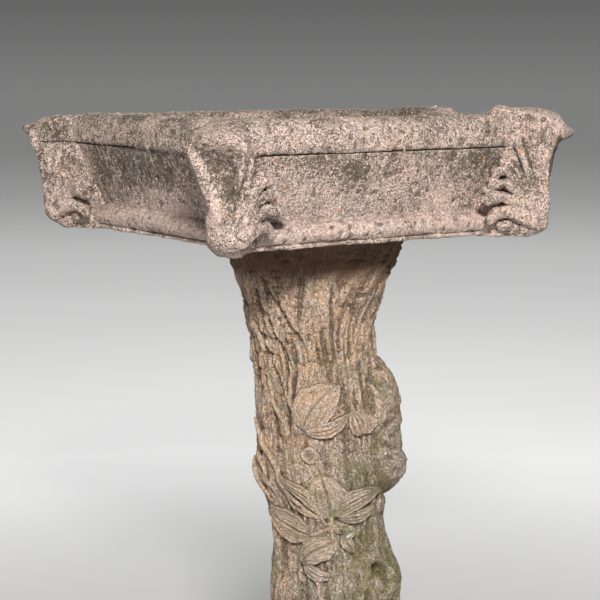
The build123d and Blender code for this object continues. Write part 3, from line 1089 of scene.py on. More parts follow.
    def bark(self) -> SkinMesh:
        """The trunk's whole skin, flat underneath and on top.

        Returns:
            The closed skin.
        """
        below = np.linspace(0.0, self.fine_from, self.rows_below, endpoint=False)
        above = np.linspace(self.fine_from, self.height, self.rows_above)
        top = self.height
        heights = np.concatenate([[0.0, 0.0], below, above, [top, top, top, top - 3.0, top - 30.0]])
        turns = np.arange(self.columns) * 360.0 / self.columns
        turn, height = np.meshgrid(turns, heights)
        proud, relief = self._bark(turn, height)
        proud *= 0.35 + 0.65 * ease(height, top, top - 6.0)
        loops = self.point(turn, height, proud)
        for row, share in ((0, 0.3), (1, 0.75), (-5, 0.8), (-4, 0.45)):
            middle = self.centre(height[row])
            loops[row, :, :2] = middle + (loops[row, :, :2] - middle) * share
        for row in (-3, -2, -1):
            plan = loops[-6, :, :2]
            loops[row, :, :2] = plan / np.linalg.norm(plan, axis=1, keepdims=True) * self.socket_radius
        mesh = SkinMesh()
        mesh.add_loops(loops, relief, self.moss(turn, height))
        flow = self._grain(turn, height).reshape(-1, 3)
        mesh.flow = np.concatenate([flow, flow[:1], flow[-1:]])
        return mesh


@dataclass(frozen=True)
class Leaf:
    """A leaf lying on the trunk, from its base to its tip (degrees, mm), and how it is shaped, mm."""

    base: tuple[float, float]
    tip: tuple[float, float]
    half_width: float
    bow: float = 0.0
    lift: float = 4.0
    dome: float = 2.4
    widest: float = 0.42
    veins: int = 4


@dataclass(frozen=True)
class Vine:
    """A stem lying on the trunk: its points (degrees, mm) and thickness, mm."""

    points: tuple[tuple[float, float], ...]
    thickness: float


@dataclass
class TrunkFoliage:
    """The cast leaves, stems, stub and nut that lie on the bark."""

    trunk: TrunkCasting
    along: int = 46
    across: int = 30
    noise: StoneNoise = field(default_factory=lambda: StoneNoise(53))

    LEAVES = (
        Leaf((-17, 393), (17, 440), 21, bow=6, lift=4.5, veins=5),
        Leaf((-15, 391), (26, 409), 8, bow=-6, lift=5.2, veins=2),
        Leaf((40, 384), (29, 412), 11, lift=2.6, veins=2),
        Leaf((48, 384), (42, 409), 9, lift=2.4, veins=2),
        Leaf((1, 300), (-3, 349), 20, bow=-2, lift=4.6),
        Leaf((4, 303), (58, 325), 11, bow=7, lift=4.2, veins=3),
        Leaf((8, 300), (52, 309), 7, bow=-4, lift=3.6, veins=2),
        Leaf((-5, 303), (-48, 338), 8, bow=-9, lift=3.6, veins=2),
        Leaf((-18, 281), (-74, 300), 17, bow=3, lift=4.2),
        Leaf((6, 275), (-34, 250), 13, bow=-4, lift=4.6),
        Leaf((-30, 250), (-2, 240), 7, bow=-3, lift=3.2, veins=2),
        Leaf((14, 284), (4, 297), 6, lift=3.4, veins=1),
        Leaf((14, 282), (29, 288), 7, lift=3.4, veins=1),
        Leaf((14, 280), (21, 262), 7, lift=3.4, veins=1),
        Leaf((-34, 407), (-33, 380), 6, lift=4.4, widest=0.62, veins=1),
        Leaf((150, 430), (118, 466), 19, bow=5, lift=4.4),
        Leaf((150, 430), (176, 452), 12, bow=-4, veins=3),
        Leaf((214, 380), (238, 428), 20, bow=-5, lift=4.4, veins=5),
        Leaf((212, 380), (190, 404), 12, bow=4, veins=3),
        Leaf((148, 246), (120, 284), 18, bow=4, lift=4.4),
        Leaf((150, 244), (182, 270), 16, bow=-4, lift=4.2),
        Leaf((150, 240), (138, 205), 13, bow=3, veins=3),
        Leaf((226, 250), (252, 292), 18, bow=4, lift=4.2),
        Leaf((224, 250), (204, 214), 14, bow=4, lift=4.2, veins=3),
        Leaf((268, 480), (246, 446), 14, bow=4, veins=3),
        Leaf((20, 150), (-8, 184), 15, bow=3, veins=3),
        Leaf((22, 148), (50, 172), 13, bow=-3, veins=3),
        Leaf((124, 240), (138, 206), 12, bow=3, lift=3.8, veins=3),
    )
    VINES = (
        Vine(((-17, 393), (-23, 400), (-27, 420), (-29, 440), (-26, 462)), 2.6),
        Vine(((-80, 395), (-66, 372), (-52, 350), (-40, 330), (-28, 312), (-10, 303), (2, 300)), 3.4),
        Vine(((-76, 360), (-62, 340), (-58, 322)), 3.0),
        Vine(((-88, 352), (-74, 330), (-66, 308)), 3.2),
        Vine(((-44, 340), (-41, 324), (-34, 311), (-22, 304), (-8, 300), (0, 292)), 3.0),
        Vine(((2, 304), (1, 290), (4, 276), (8, 266)), 2.8),
        Vine(((6, 288), (11, 293), (17, 292), (20, 286)), 2.0),
        Vine(((-18, 281), (-8, 286), (1, 290)), 2.2),
        Vine(((-62, 446), (-52, 420), (-44, 404), (-36, 398), (-33, 404)), 2.8),
        Vine(((-20, 250), (-18, 232), (-10, 212), (-4, 190), (6, 168), (20, 150)), 2.4),
        Vine(((150, 240), (152, 290), (146, 340), (152, 390), (150, 430), (158, 500), (150, 560)), 3.2),
        Vine(((226, 250), (220, 300), (212, 340), (213, 380), (222, 440), (216, 520)), 3.2),
        Vine(((150, 240), (170, 215), (196, 222), (224, 250)), 2.8),
        Vine(((268, 480), (262, 520), (268, 560)), 2.6),
        Vine(((20, 150), (36, 120), (60, 90), (72, 40)), 3.0),
        Vine(((126, 240), (116, 200), (118, 150), (124, 90), (128, 40)), 3.2),
        Vine(((150, 240), (160, 190), (150, 130), (158, 60)), 3.4),
    )
    STUB = (-11.0, 367.0)
    NUT = (40.0, 224.0)

    def _arc_to_turn(self, arc: Array, height: Array) -> Array:
        """Degrees round the trunk for a length along its skin."""
        return np.degrees(arc / curve(np.asarray(height, float), self.trunk.RADIUS))

    def stem_line(self, vine: Vine, spacing: float = 2.2) -> Array:
        """Smooth line of a stem along the bark, half sunk into it.

        Args:
            vine: Its points and thickness.
            spacing: Distance between the line's points, millimetres.

        Returns:
            Points of shape (n, 3).
        """
        knots = np.array(vine.points, float)
        run = np.concatenate([[0.0], np.cumsum(np.hypot(np.diff(knots[:, 0]) * 1.1, np.diff(knots[:, 1])))])
        share = np.linspace(0.0, run[-1], max(8, int(run[-1] / spacing)))
        turn = curve(share, list(zip(run, knots[:, 0])))
        height = curve(share, list(zip(run, knots[:, 1])))
        turn = turn + 1.6 * np.sin(share / 7.0) + 0.9 * np.sin(share / 3.1 + 1.0)
        return self.trunk.point(turn, height, 0.2 * vine.thickness + 0.8)

    def _leaf(self, leaf: Leaf) -> tuple[Array, Array, Array]:
        """One leaf: a domed, veined upper face with a rolled edge, and a root inside the trunk.

        Args:
            leaf: Its place and shape.

        Returns:
            Its loops, their relief and their stain.
        """
        share = np.linspace(0.015, 0.985, self.along)[:, None]
        side = np.linspace(-1.0, 1.0, self.across)[None, :]
        radius = float(curve(np.array(leaf.base[1]), self.trunk.RADIUS))
        run = np.array((math.radians(leaf.tip[0] - leaf.base[0]) * radius, leaf.tip[1] - leaf.base[1]))
        length = float(np.hypot(*run))
        ahead, left = run / length, np.array((-run[1], run[0])) / length
        skew = math.log(0.5) / math.log(leaf.widest)
        width = leaf.half_width * np.sin(math.pi * share**skew) ** 0.72
        wander = leaf.bow * np.sin(math.pi * share)
        frill = 1.0 + 0.05 * np.sin(share * 23.0 + leaf.base[0]) * np.abs(side) ** 3
        across = wander + side * width * frill
        arc = ahead[0] * share * length + left[0] * across
        height = leaf.base[1] + ahead[1] * share * length + left[1] * across
        turn = leaf.base[0] + np.degrees(arc / radius)
        reach = np.abs(side)
        proud = leaf.lift * (0.55 + 0.45 * np.sin(math.pi * np.clip(share * 1.08, 0, 1)))
        proud = proud + leaf.dome * (1 - reach**2) * np.sin(math.pi * share)
        vein = 0.55 * np.cos(2 * math.pi * (leaf.veins * reach + 0.8 * share)) * ease(reach, 0.05, 0.2)
        rib = -1.5 * bump(side, 0.0, 0.07) + 0.7 * bump(reach, 0.17, 0.09)
        detail = vein + rib
        rolled = 1.6 * bump(reach, 0.9, 0.1) - 2.4 * ease(reach, 0.95, 1.0)
        proud = proud + detail + rolled
        spot = self.trunk.point(turn, height, 0.0)
        grit = 0.35 * self.noise.at(spot, 3.2) + 0.6 * self.noise.at(spot + 300, 12.0)
        upper = self.trunk.point(turn, height, proud + grit)
        lower = self.trunk.point(turn[:, ::-1], height[:, ::-1], -7.0)[:, 2:-2]
        loops = np.concatenate([upper, lower], axis=1)
        fill = ((0, 0), (0, lower.shape[1]))
        relief = np.clip((detail + rolled + grit) * 0.45, -1, 1)
        stain = self.trunk.moss(turn, height) * 0.8
        return loops, np.pad(relief, fill), np.pad(stain, fill)

    def leaves(self) -> SkinMesh:
        """All the leaves, the broken stub and the nut in the knot hole.

        Returns:
            Their closed skins.
        """
        mesh = SkinMesh()
        for skin in (*map(self._leaf, self.LEAVES), self._stub(), self._nut()):
            mesh.add_loops(*skin)
        return mesh

    def _stub(self) -> tuple[Array, Array, Array]:
        """Broken branch stub: a low squared ring with a sunken middle.

        Returns:
            Its loops, their relief and their stain.
        """
        turns = np.linspace(0, 2 * math.pi, 40, endpoint=False)[None, :]
        profile = ((9.5, -6.0), (9.4, 0.5), (8.8, 3.4), (7.6, 4.8), (6.2, 4.4), (5.0, 2.6), (2.4, 2.0), (0.4, 2.1))
        size = np.array([p[0] for p in profile])[:, None] * (1 + 0.1 * np.cos(4 * turns) ** 3)
        proud = np.array([p[1] for p in profile])[:, None] + 0 * turns
        height = self.STUB[1] + size * np.sin(turns)
        turn = self.STUB[0] + self._arc_to_turn(size * np.cos(turns), height)
        loops = self.trunk.point(turn, height, proud)
        loops += 0.7 * self.noise.at(loops, 5.0)[..., None] * (proud > 0)[..., None]
        relief = np.clip((proud - 3.2) * 0.4, -1, 1)
        return loops, relief, np.full(relief.shape, 0.35)

    def _nut(self) -> tuple[Array, Array, Array]:
        """Round nut caught in the knot hole.

        Returns:
            Its loops, their relief and their stain.
        """
        around = np.linspace(0, 2 * math.pi, 44, endpoint=False)[None, :]
        down = np.linspace(0.06, math.pi - 0.06, 26)[:, None]
        centre = self.trunk.point(np.array(self.NUT[0]), np.array(self.NUT[1]), np.array(-7.0))
        size = 8.2 + 0.5 * np.cos(6 * around) * np.sin(down)
        ball = np.stack([size * np.sin(down) * np.cos(around), size * np.sin(down) * np.sin(around),
                         size * 1.15 * np.cos(down) + 0 * around], axis=-1)
        loops = centre + ball
        rough = self.noise.at(loops, 4.0)
        loops = loops + ball / 8.0 * (0.5 * rough)[..., None]
        return loops, 0.5 * rough, np.full(rough.shape, 0.55)


# --- Node writing ---


class Graph:
    """A node tree being written, with short ways to add its nodes."""

    def __init__(self, tree: NodeTree) -> None:
        """Keep the tree and empty it."""
        self.tree = tree
        tree.nodes.clear()

    def node(self, kind: str, inputs: dict | None = None, **settings: object) -> Node:
        """Add a node.

        Args:
            kind: The node's type name.
            inputs: Sockets by name or number, each with a value or with the socket that feeds it.
            **settings: The node's own properties.

        Returns:
            The new node.
        """
        made = self.tree.nodes.new(kind)
        for name, value in settings.items():
            setattr(made, name, value)
        for name, value in (inputs or {}).items():
            if isinstance(value, NodeSocket):
                self.tree.links.new(value, made.inputs[name])
            else:
                made.inputs[name].default_value = value
        return made

    def sum(self, *terms: object) -> NodeSocket:
        """Add values or sockets, first to last."""
        return functools.reduce(lambda total, term: self.math("ADD", total, term), terms)

    def math(self, operation: str, first: object, second: object = 0.0) -> NodeSocket:
        """One arithmetic node on two values or sockets."""
        return self.node("ShaderNodeMath", {0: first, 1: second}, operation=operation).outputs[0]

    def times(self, first: object, second: object) -> NodeSocket:
        """Multiply two values or sockets."""
        return self.math("MULTIPLY", first, second)

    def mix(self, share: object, first: object, second: object) -> NodeSocket:
        """Mix two colours, each a socket or three linear values."""
        first, second = ((*c, 1.0) if isinstance(c, tuple) else c for c in (first, second))
        return self.node("ShaderNodeMix", {0: share, 6: first, 7: second}, data_type="RGBA").outputs[2]

    def mask(self, value: object, low: object, high: object, most: float = 1.0) -> NodeSocket:
        """Ease a value from 0 at low to most at high."""
        sockets = {"Value": value, "From Min": low, "From Max": high, "To Max": most}
        return self.node("ShaderNodeMapRange", sockets, interpolation_type="SMOOTHSTEP").outputs[0]

    def noise(self, place: object, size: object, detail: float = 2.0, rough: float = 0.6) -> NodeSocket:
        """Noise whose lumps are about size metres wide, from 0 to 1."""
        scale = self.math("DIVIDE", 1.0, size) if isinstance(size, NodeSocket) else 1.0 / size
        sockets = {"Vector": place, "Scale": scale, "Detail": detail, "Roughness": rough}
        return self.node("ShaderNodeTexNoise", sockets).outputs[0]

    def cells(self, place: object, size: NodeSocket) -> tuple[Node, Node]:
        """Cells about size metres wide, and three even lots from 0 to 1 drawn by each."""
        cells = self.node("ShaderNodeTexVoronoi", {"Vector": place, "Scale": self.math("DIVIDE", 1.0, size)})
        return cells, self.node("ShaderNodeSeparateColor", {0: cells.outputs["Color"]})

    def tone(self, tone: Tone) -> NodeSocket:
        """Read a value kept on the surface."""
        return self.node("ShaderNodeAttribute", attribute_name=tone.value).outputs["Fac"]

    def upright(self, vector: object) -> NodeSocket:
        """A vector's third number."""
        return self.node("ShaderNodeSeparateXYZ", {0: vector}).outputs[2]

    def effect(self, tree: NodeTree, **inputs: object) -> Node:
        """Place a shared node group."""
        return self.node("ShaderNodeGroup", inputs, node_tree=tree)

    def surface(self, **inputs: object) -> None:
        """End a material with its shader, whose sockets are given by name with _ for a space."""
        sockets = {name.replace("_", " "): value for name, value in inputs.items()}
        shader = self.node("ShaderNodeBsdfPrincipled", sockets)
        self.node("ShaderNodeOutputMaterial", {"Surface": shader.outputs[0]})

    def give(self, result: Node, **sockets: NodeSocket) -> NodeTree:
        """Feed a group's output node by its sockets' names, and hand over the tree."""
        for name, socket in sockets.items():
            self.tree.links.new(socket, result.inputs[name])
        return self.tree


def start_material(name: str, colour: Rgb) -> tuple[Material, Graph]:
    """Make an empty material.

    Args:
        name: Its name.
        colour: What it has in a plain view.

    Returns:
        The material and its graph.
    """
    made = bpy.data.materials.new(name)
    made.use_nodes = True
    made.diffuse_color = (*colour, 1.0)
    return made, Graph(made.node_tree)


def shader_group(name: str, inputs: dict[str, float | None], outputs: Sequence[str]) -> tuple[Graph, Sequence, Node]:
    """Start a shader node group of values.

    Args:
        name: The group's name.
        inputs: Its inputs' names with their usual values; None makes a vector input.
        outputs: Its outputs' names.

    Returns:
        The graph, the sockets of its inputs and its output node.
    """
    tree = bpy.data.node_groups.new(name, "ShaderNodeTree")
    for label, value in inputs.items():
        kind = "NodeSocketVector" if value is None else "NodeSocketFloat"
        socket = tree.interface.new_socket(label, in_out="INPUT", socket_type=kind)
        if value is not None:
            socket.default_value = value
    for label in outputs:
        tree.interface.new_socket(label, in_out="OUTPUT", socket_type="NodeSocketFloat")
    graph = Graph(tree)
    return graph, graph.node("NodeGroupInput").outputs, graph.node("NodeGroupOutput")


class SharedEffects:
    """Shader node groups that several finishes place with their own values."""

    def __init__(self) -> None:
        """Write the groups."""
        self.grain = self._grain()
        self.growth = self._growth()
        self.specks = self._specks()

    def _grain(self) -> NodeTree:
        """Crushed stone in mortar: pale grains, dark pits and how far they stand out.

        Returns:
            The group.
        """
        inputs = {"Place": None, "Grain": 0.0022}
        graph, given, result = shader_group("crushed_stone_grain", inputs, ("Shade", "Pale", "Pit", "Height"))
        place, size = given["Place"], given["Grain"]
        warp = graph.noise(place, 0.004, 1.0)
        shift = graph.node("ShaderNodeCombineXYZ", {0: graph.times(warp, 0.0016), 1: graph.times(warp, -0.0016)})
        bent = graph.node("ShaderNodeVectorMath", {0: place, 1: shift.outputs[0]}, operation="ADD").outputs[0]
        cells, lot = graph.cells(bent, size)
        dome = graph.mask(cells.outputs["Distance"], 0.75, 0.1)
        fine = graph.noise(place, 0.0011, 2.0, 0.7)
        pale = graph.times(graph.mask(lot.outputs[0], 0.66, 0.86), graph.mask(dome, 0.15, 0.55))
        pits = graph.noise(place, graph.times(size, 0.8), 3.0, 0.75)
        pit = graph.mask(pits, 0.465, 0.41)
        shade = graph.sum(graph.times(lot.outputs[1], 0.6), graph.times(fine, 0.4))
        height = graph.sum(graph.times(dome, lot.outputs[2]), graph.times(fine, 0.7), graph.times(pit, -0.9))
        return graph.give(result, Shade=shade, Pale=pale, Pit=pit, Height=height)

    def _growth(self) -> NodeTree:
        """Crusty lichen or moss in ragged patches, thicker where Cover is near 1.

        Returns:
            The group.
        """
        inputs = {"Place": None, "Cover": 0.3, "Patch": 0.008, "Crumb": 0.0014}
        graph, given, result = shader_group("crusty_growth", inputs, ("Mask", "Tuft"))
        place = given["Place"]
        wide = graph.noise(place, 0.03, 2.0)
        patches = graph.noise(place, given["Patch"], 4.0, 0.7)
        _, lot = graph.cells(place, given["Crumb"])
        fine = graph.noise(place, given["Crumb"], 2.0, 0.75)
        crumbs = graph.sum(graph.times(lot.outputs[0], 0.26), graph.times(fine, 0.74))
        both = graph.sum(graph.times(patches, 0.35), graph.times(crumbs, 0.47), graph.times(wide, 0.18))
        limit = graph.math("SUBTRACT", 0.62, graph.times(given["Cover"], 0.155))
        mask = graph.mask(both, graph.math("SUBTRACT", limit, 0.015), graph.math("ADD", limit, 0.025))
        return graph.give(result, Mask=mask, Tuft=crumbs)

    def _specks(self) -> NodeTree:
        """Small round colonies, a few to a hand's breadth.

        Returns:
            The group.
        """
        inputs = {"Place": None, "Spacing": 0.016, "Share": 0.12}
        graph, given, result = shader_group("round_colonies", inputs, ("Mask",))
        place = given["Place"]
        cells, lot = graph.cells(place, given["Spacing"])
        ragged = graph.times(graph.math("SUBTRACT", graph.noise(place, 0.003, 3.0), 0.5), 0.42)
        edge = graph.sum(cells.outputs["Distance"], ragged)
        size = graph.times(lot.outputs[1], 0.24)
        disc = graph.mask(edge, graph.math("ADD", size, 0.05), size)
        chosen = graph.math("LESS_THAN", lot.outputs[0], given["Share"])
        return graph.give(result, Mask=graph.times(disc, chosen))


# --- Finishes ---


@dataclass(frozen=True)
class StoneFinish:
    """Weathered cast stone or mortar. Colours are linear."""

    name: str
    body: Rgb
    warm: Rgb
    cool: Rgb
    # hollow: colour of painted shade in hollows and grooves, and of painted shadow
    hollow: Rgb
    # ridge: colour of the painted highlight on ridges
    ridge: Rgb
    pale_grain: Rgb
    pit: Rgb
    growth: Rgb
    growth_tip: Rgb
    colony: Rgb
    grain: float
    colonies: float
    # shares of painted shade in hollows and of painted highlight on ridges
    hollow_share: float = 0.6
    ridge_share: float = 0.3
    pale_share: float = 0.7
    pit_share: float = 0.8
    shade_range: float = 0.3
    patch: float = 0.007
    stain_tint: float = 0.0
    # grooves: how strongly the fine grooves take painted shade
    grooves: float = 0.0
    extra_cover: float = 0.0
    colony_spacing: float = 0.016
    clean: float = 0.0  # how far the dark grains fade where nothing takes hold
    painted_shadow: tuple[float, float, float] = (0.0, 1.0, 0.0)  # painted shadow: heights where it starts and is full, and its share
    bump_depth: float = 0.0009
    roughness: tuple[float, float] = (0.78, 0.96)

    GROOVE_DEPTH = -1.1  # in the bump's heights

    def _groove(self, graph: Graph) -> NodeSocket:
        """Fine lines along the bark's flow, darkened as painted shade and sunk by the bump.

        Args:
            graph: The material's graph.

        Returns:
            Their mask.
        """
        flow = graph.node("ShaderNodeAttribute", attribute_name=FLOW).outputs["Vector"]
        drawn = graph.node("ShaderNodeMapping", {"Vector": flow, "Scale": (1.0, 1.0, 0.16)}).outputs[0]
        lines = graph.noise(drawn, 0.0022, 3.0, 0.7)
        return graph.mask(graph.math("ABSOLUTE", graph.math("SUBTRACT", lines, 0.5)), 0.036, 0.0)

    def _tinted(self, graph: Graph, place: object, groove: object) -> NodeSocket:
        """Colour of the bare stone, by broad patches, with painted shade in its hollows and fine grooves and a
        painted highlight on its ridges.

        Args:
            graph: The material's graph.
            place: Where on the piece.
            groove: Mask of the fine lines, or None.

        Returns:
            The colour.
        """
        relief, stain = graph.tone(Tone.RELIEF), graph.tone(Tone.STAIN)
        middle = graph.noise(place, 0.011, 3.0, 0.65)
        colour = graph.mix(graph.mask(graph.noise(place, 0.048, 3.0), 0.38, 0.62), self.body, self.warm)
        colour = graph.mix(graph.mask(middle, 0.46, 0.66, 0.75), colour, self.cool)
        colour = graph.mix(graph.mask(stain, 0.15, 0.75, self.stain_tint), colour, self.cool)
        # Painted shade: the hollow colour darkens the fine grooves and the hollows; the ridge colour is a painted
        # highlight on the ridges.
        if groove:
            colour = graph.mix(graph.times(groove, self.grooves), colour, self.hollow)
        colour = graph.mix(graph.mask(relief, 0.05, -0.75, self.hollow_share), colour, self.hollow)
        return graph.mix(graph.mask(relief, 0.05, 0.8, self.ridge_share), colour, self.ridge)

    def _grained(self, graph: Graph, colour: object, grain: Node) -> NodeSocket:
        """The same stone with its grains: their shades, the pale ones and the dark pits.

        Args:
            graph: The material's graph.
            colour: The stone's colour.
            grain: The grains' group node.

        Returns:
            The colour.
        """
        shade = graph.mask(grain.outputs["Shade"], 0.2, 0.8)
        grey = graph.node("ShaderNodeCombineColor", {0: shade, 1: shade, 2: shade}).outputs[0]
        colour = graph.node("ShaderNodeMix", {0: self.shade_range, 6: colour, 7: grey}, data_type="RGBA",
                            blend_type="MULTIPLY").outputs[2]
        colour = graph.mix(graph.times(grain.outputs["Pale"], self.pale_share), colour, self.pale_grain)
        dark = graph.times(grain.outputs["Pit"], self.pit_share)
        if self.clean:
            faded = graph.mask(graph.tone(Tone.STAIN), 0.3, 0.02, self.clean)
            dark = graph.times(dark, graph.math("SUBTRACT", 1.0, faded))
        return graph.mix(dark, colour, self.pit)

    def material(self, effects: SharedEffects) -> Material:
        """Write the material.

        Args:
            effects: The shared node groups.

        Returns:
            The material.
        """
        made, graph = start_material(self.name, self.body)
        place = graph.node("ShaderNodeTexCoord").outputs["Object"]
        cover = graph.math("ADD", graph.tone(Tone.STAIN), self.extra_cover)
        grain = graph.effect(effects.grain, Place=place, Grain=self.grain)
        growth = graph.effect(effects.growth, Place=place, Cover=cover, Patch=self.patch)
        colonies = graph.effect(effects.specks, Place=place, Share=self.colonies, Spacing=self.colony_spacing)
        groove = self._groove(graph) if self.grooves else None
        colour = self._grained(graph, self._tinted(graph, place, groove), grain)
        # Painted shadow: above a band of heights the hollow colour darkens the stone, as under the basin on the
        # trunk's top.
        if self.painted_shadow[2]:
            colour = graph.mix(graph.mask(graph.upright(place), *self.painted_shadow), colour, self.hollow)
        crust = graph.mix(graph.mask(growth.outputs["Tuft"], 0.4, 0.68), self.growth, self.growth_tip)
        colour = graph.mix(graph.times(growth.outputs["Mask"], 0.92), colour, crust)
        colour = graph.mix(graph.times(colonies.outputs["Mask"], 0.85), colour, self.colony)
        heights = graph.sum(grain.outputs["Height"], graph.times(growth.outputs["Mask"], 0.35),
                            graph.times(growth.outputs["Tuft"], 0.5))
        if groove:
            heights = graph.sum(heights, graph.times(groove, self.GROOVE_DEPTH))
        bumped = graph.node("ShaderNodeBump", {"Strength": 0.9, "Distance": self.bump_depth, "Height": heights})
        low, high = self.roughness
        rough = graph.node("ShaderNodeMapRange", {"Value": grain.outputs["Shade"], "To Min": high, "To Max": low})
        graph.surface(Base_Color=colour, Roughness=rough.outputs[0], Normal=bumped.outputs[0],
                      Specular_IOR_Level=0.25)
        return made


@dataclass(frozen=True)
class SteelFinish:
    """Bare steel with rust coming through. Colours are linear."""

    name: str
    steel: Rgb
    rust: Rgb
    dark_rust: Rgb
    rusted: float

    def material(self, effects: SharedEffects) -> Material:
        """Write the material.

        Args:
            effects: The shared node groups.

        Returns:
            The material.
        """
        made, graph = start_material(self.name, self.steel)
        place = graph.node("ShaderNodeTexCoord").outputs["Object"]
        growth = graph.effect(effects.growth, Place=place, Cover=self.rusted, Patch=0.009)
        drawn = graph.node("ShaderNodeMapping", {"Vector": place, "Scale": (1.0, 1.0, 0.08)}).outputs[0]
        streaks = graph.noise(drawn, 0.0006, 2.0)
        mask = growth.outputs["Mask"]
        rust = graph.mix(graph.mask(growth.outputs["Tuft"], 0.38, 0.66), self.dark_rust, self.rust)
        colour = graph.mix(mask, graph.mix(graph.mask(streaks, 0.3, 0.7, 0.35), self.steel, (0.2, 0.2, 0.21)), rust)
        rough = graph.node("ShaderNodeMapRange", {"Value": mask, "To Min": 0.34, "To Max": 0.9}).outputs[0]
        heights = graph.sum(graph.times(streaks, 0.2), graph.times(mask, 0.6),
                            graph.times(growth.outputs["Tuft"], 0.4))
        bumped = graph.node("ShaderNodeBump", {"Strength": 0.6, "Distance": 0.0003, "Height": heights})
        graph.surface(Base_Color=colour, Metallic=graph.math("SUBTRACT", 1.0, mask), Roughness=rough,
                      Normal=bumped.outputs[0])
        return made


BASIN_STONE = StoneFinish(
    name="weathered_basin_stone", body=(0.60, 0.455, 0.395), warm=(0.63, 0.46, 0.38), cool=(0.45, 0.37, 0.33),
    hollow=(0.15, 0.11, 0.085), ridge=(0.66, 0.54, 0.475), pale_grain=(0.74, 0.63, 0.57),
    pit=(0.055, 0.037, 0.026), growth=(0.04, 0.03, 0.021), growth_tip=(0.12, 0.095, 0.065),
    colony=(0.50, 0.19, 0.06), hollow_share=0.8, ridge_share=0.35, pale_share=0.45, pit_share=0.88,
    shade_range=0.42, grain=0.0017, colonies=0.1, colony_spacing=0.0075, stain_tint=0.3,
    clean=0.75)
# The trunk's top, from 0.532 to 0.56 m up, is darkened with painted shadow under the basin.
TRUNK_STONE = StoneFinish(
    name="weathered_trunk_stone", body=(0.56, 0.385, 0.265), warm=(0.60, 0.40, 0.255), cool=(0.525, 0.455, 0.395),
    hollow=(0.115, 0.067, 0.042), ridge=(0.60, 0.455, 0.35), pale_grain=(0.66, 0.57, 0.50),
    pit=(0.06, 0.037, 0.024), growth=(0.09, 0.08, 0.03), growth_tip=(0.27, 0.24, 0.11),
    colony=(0.60, 0.60, 0.62), hollow_share=0.72, ridge_share=0.5, pale_share=0.4, pit_share=0.72,
    shade_range=0.36, grain=0.0019, colonies=0.03, stain_tint=0.85, grooves=0.62,
    painted_shadow=(0.532, 0.56, 1.0))
LEAF_STONE = StoneFinish(
    name="weathered_leaf_stone", body=(0.48, 0.345, 0.245), warm=(0.52, 0.36, 0.235), cool=(0.46, 0.40, 0.345),
    hollow=(0.12, 0.07, 0.045), ridge=(0.55, 0.43, 0.34), pale_grain=(0.62, 0.54, 0.47),
    pit=(0.055, 0.034, 0.022), growth=(0.09, 0.08, 0.03), growth_tip=(0.27, 0.24, 0.11),
    colony=(0.60, 0.60, 0.62), hollow_share=0.9, ridge_share=0.4, pale_share=0.35, pit_share=0.65,
    shade_range=0.34, grain=0.0018, colonies=0.02, stain_tint=0.8)
CRUMB_STONE = StoneFinish(
    name="loose_stone_grains", body=(0.46, 0.39, 0.33), warm=(0.52, 0.42, 0.33), cool=(0.30, 0.27, 0.23),
    hollow=(0.17, 0.145, 0.115), ridge=(0.62, 0.54, 0.46), pale_grain=(0.74, 0.65, 0.57),
    pit=(0.07, 0.055, 0.04), growth=(0.075, 0.068, 0.05), growth_tip=(0.19, 0.185, 0.13),
    colony=(0.50, 0.19, 0.06), grain=0.004, colonies=0.05, bump_depth=0.0003, extra_cover=0.3)
BED_MORTAR = StoneFinish(
    name="bedding_mortar_grey", body=(0.42, 0.40, 0.37), warm=(0.45, 0.41, 0.36), cool=(0.33, 0.32, 0.31),
    hollow=(0.2, 0.19, 0.17), ridge=(0.5, 0.48, 0.45), pale_grain=(0.62, 0.6, 0.56), pit=(0.09, 0.085, 0.08),
    growth=(0.11, 0.11, 0.08), growth_tip=(0.22, 0.22, 0.16), colony=(0.3, 0.29, 0.26), grain=0.0016,
    pale_share=0.45, extra_cover=0.2, colonies=0.03, bump_depth=0.0006)
SOCKET_GROUT = StoneFinish(
    name="socket_grout", body=(0.50, 0.48, 0.45), warm=(0.52, 0.49, 0.44), cool=(0.41, 0.40, 0.39),
    hollow=(0.25, 0.24, 0.22), ridge=(0.56, 0.55, 0.52), pale_grain=(0.66, 0.64, 0.61), pit=(0.13, 0.12, 0.11),
    growth=(0.2, 0.19, 0.17), growth_tip=(0.3, 0.29, 0.26), colony=(0.36, 0.34, 0.3), grain=0.0012,
    pale_share=0.35, colonies=0.02, bump_depth=0.0004)
DOWEL_STEEL = SteelFinish("galvanised_dowel", (0.56, 0.57, 0.58), (0.32, 0.13, 0.05), (0.12, 0.06, 0.035), 0.15)
SLEEVE_STEEL = SteelFinish("sleeve_tube", (0.46, 0.46, 0.47), (0.30, 0.12, 0.05), (0.11, 0.055, 0.03), 0.35)
BAR_STEEL = SteelFinish("reinforcement_bar", (0.30, 0.28, 0.27), (0.36, 0.15, 0.06), (0.13, 0.06, 0.035), 0.75)


# --- Geometry nodes ---


def geometry_tree(name: str, inputs: dict[str, str]) -> tuple[Graph, Sequence, Node]:
    """Start a geometry node tree.

    Args:
        name: The tree's name.
        inputs: Its inputs' names and socket types, after the geometry itself.

    Returns:
        The graph, the sockets of its inputs and its output node.
    """
    tree = bpy.data.node_groups.new(name, "GeometryNodeTree")
    for label, kind in {"Geometry": "NodeSocketGeometry", **inputs}.items():
        tree.interface.new_socket(label, in_out="INPUT", socket_type=kind)
    tree.interface.new_socket("Geometry", in_out="OUTPUT", socket_type="NodeSocketGeometry")
    graph = Graph(tree)
    return graph, graph.node("NodeGroupInput").outputs, graph.node("NodeGroupOutput")


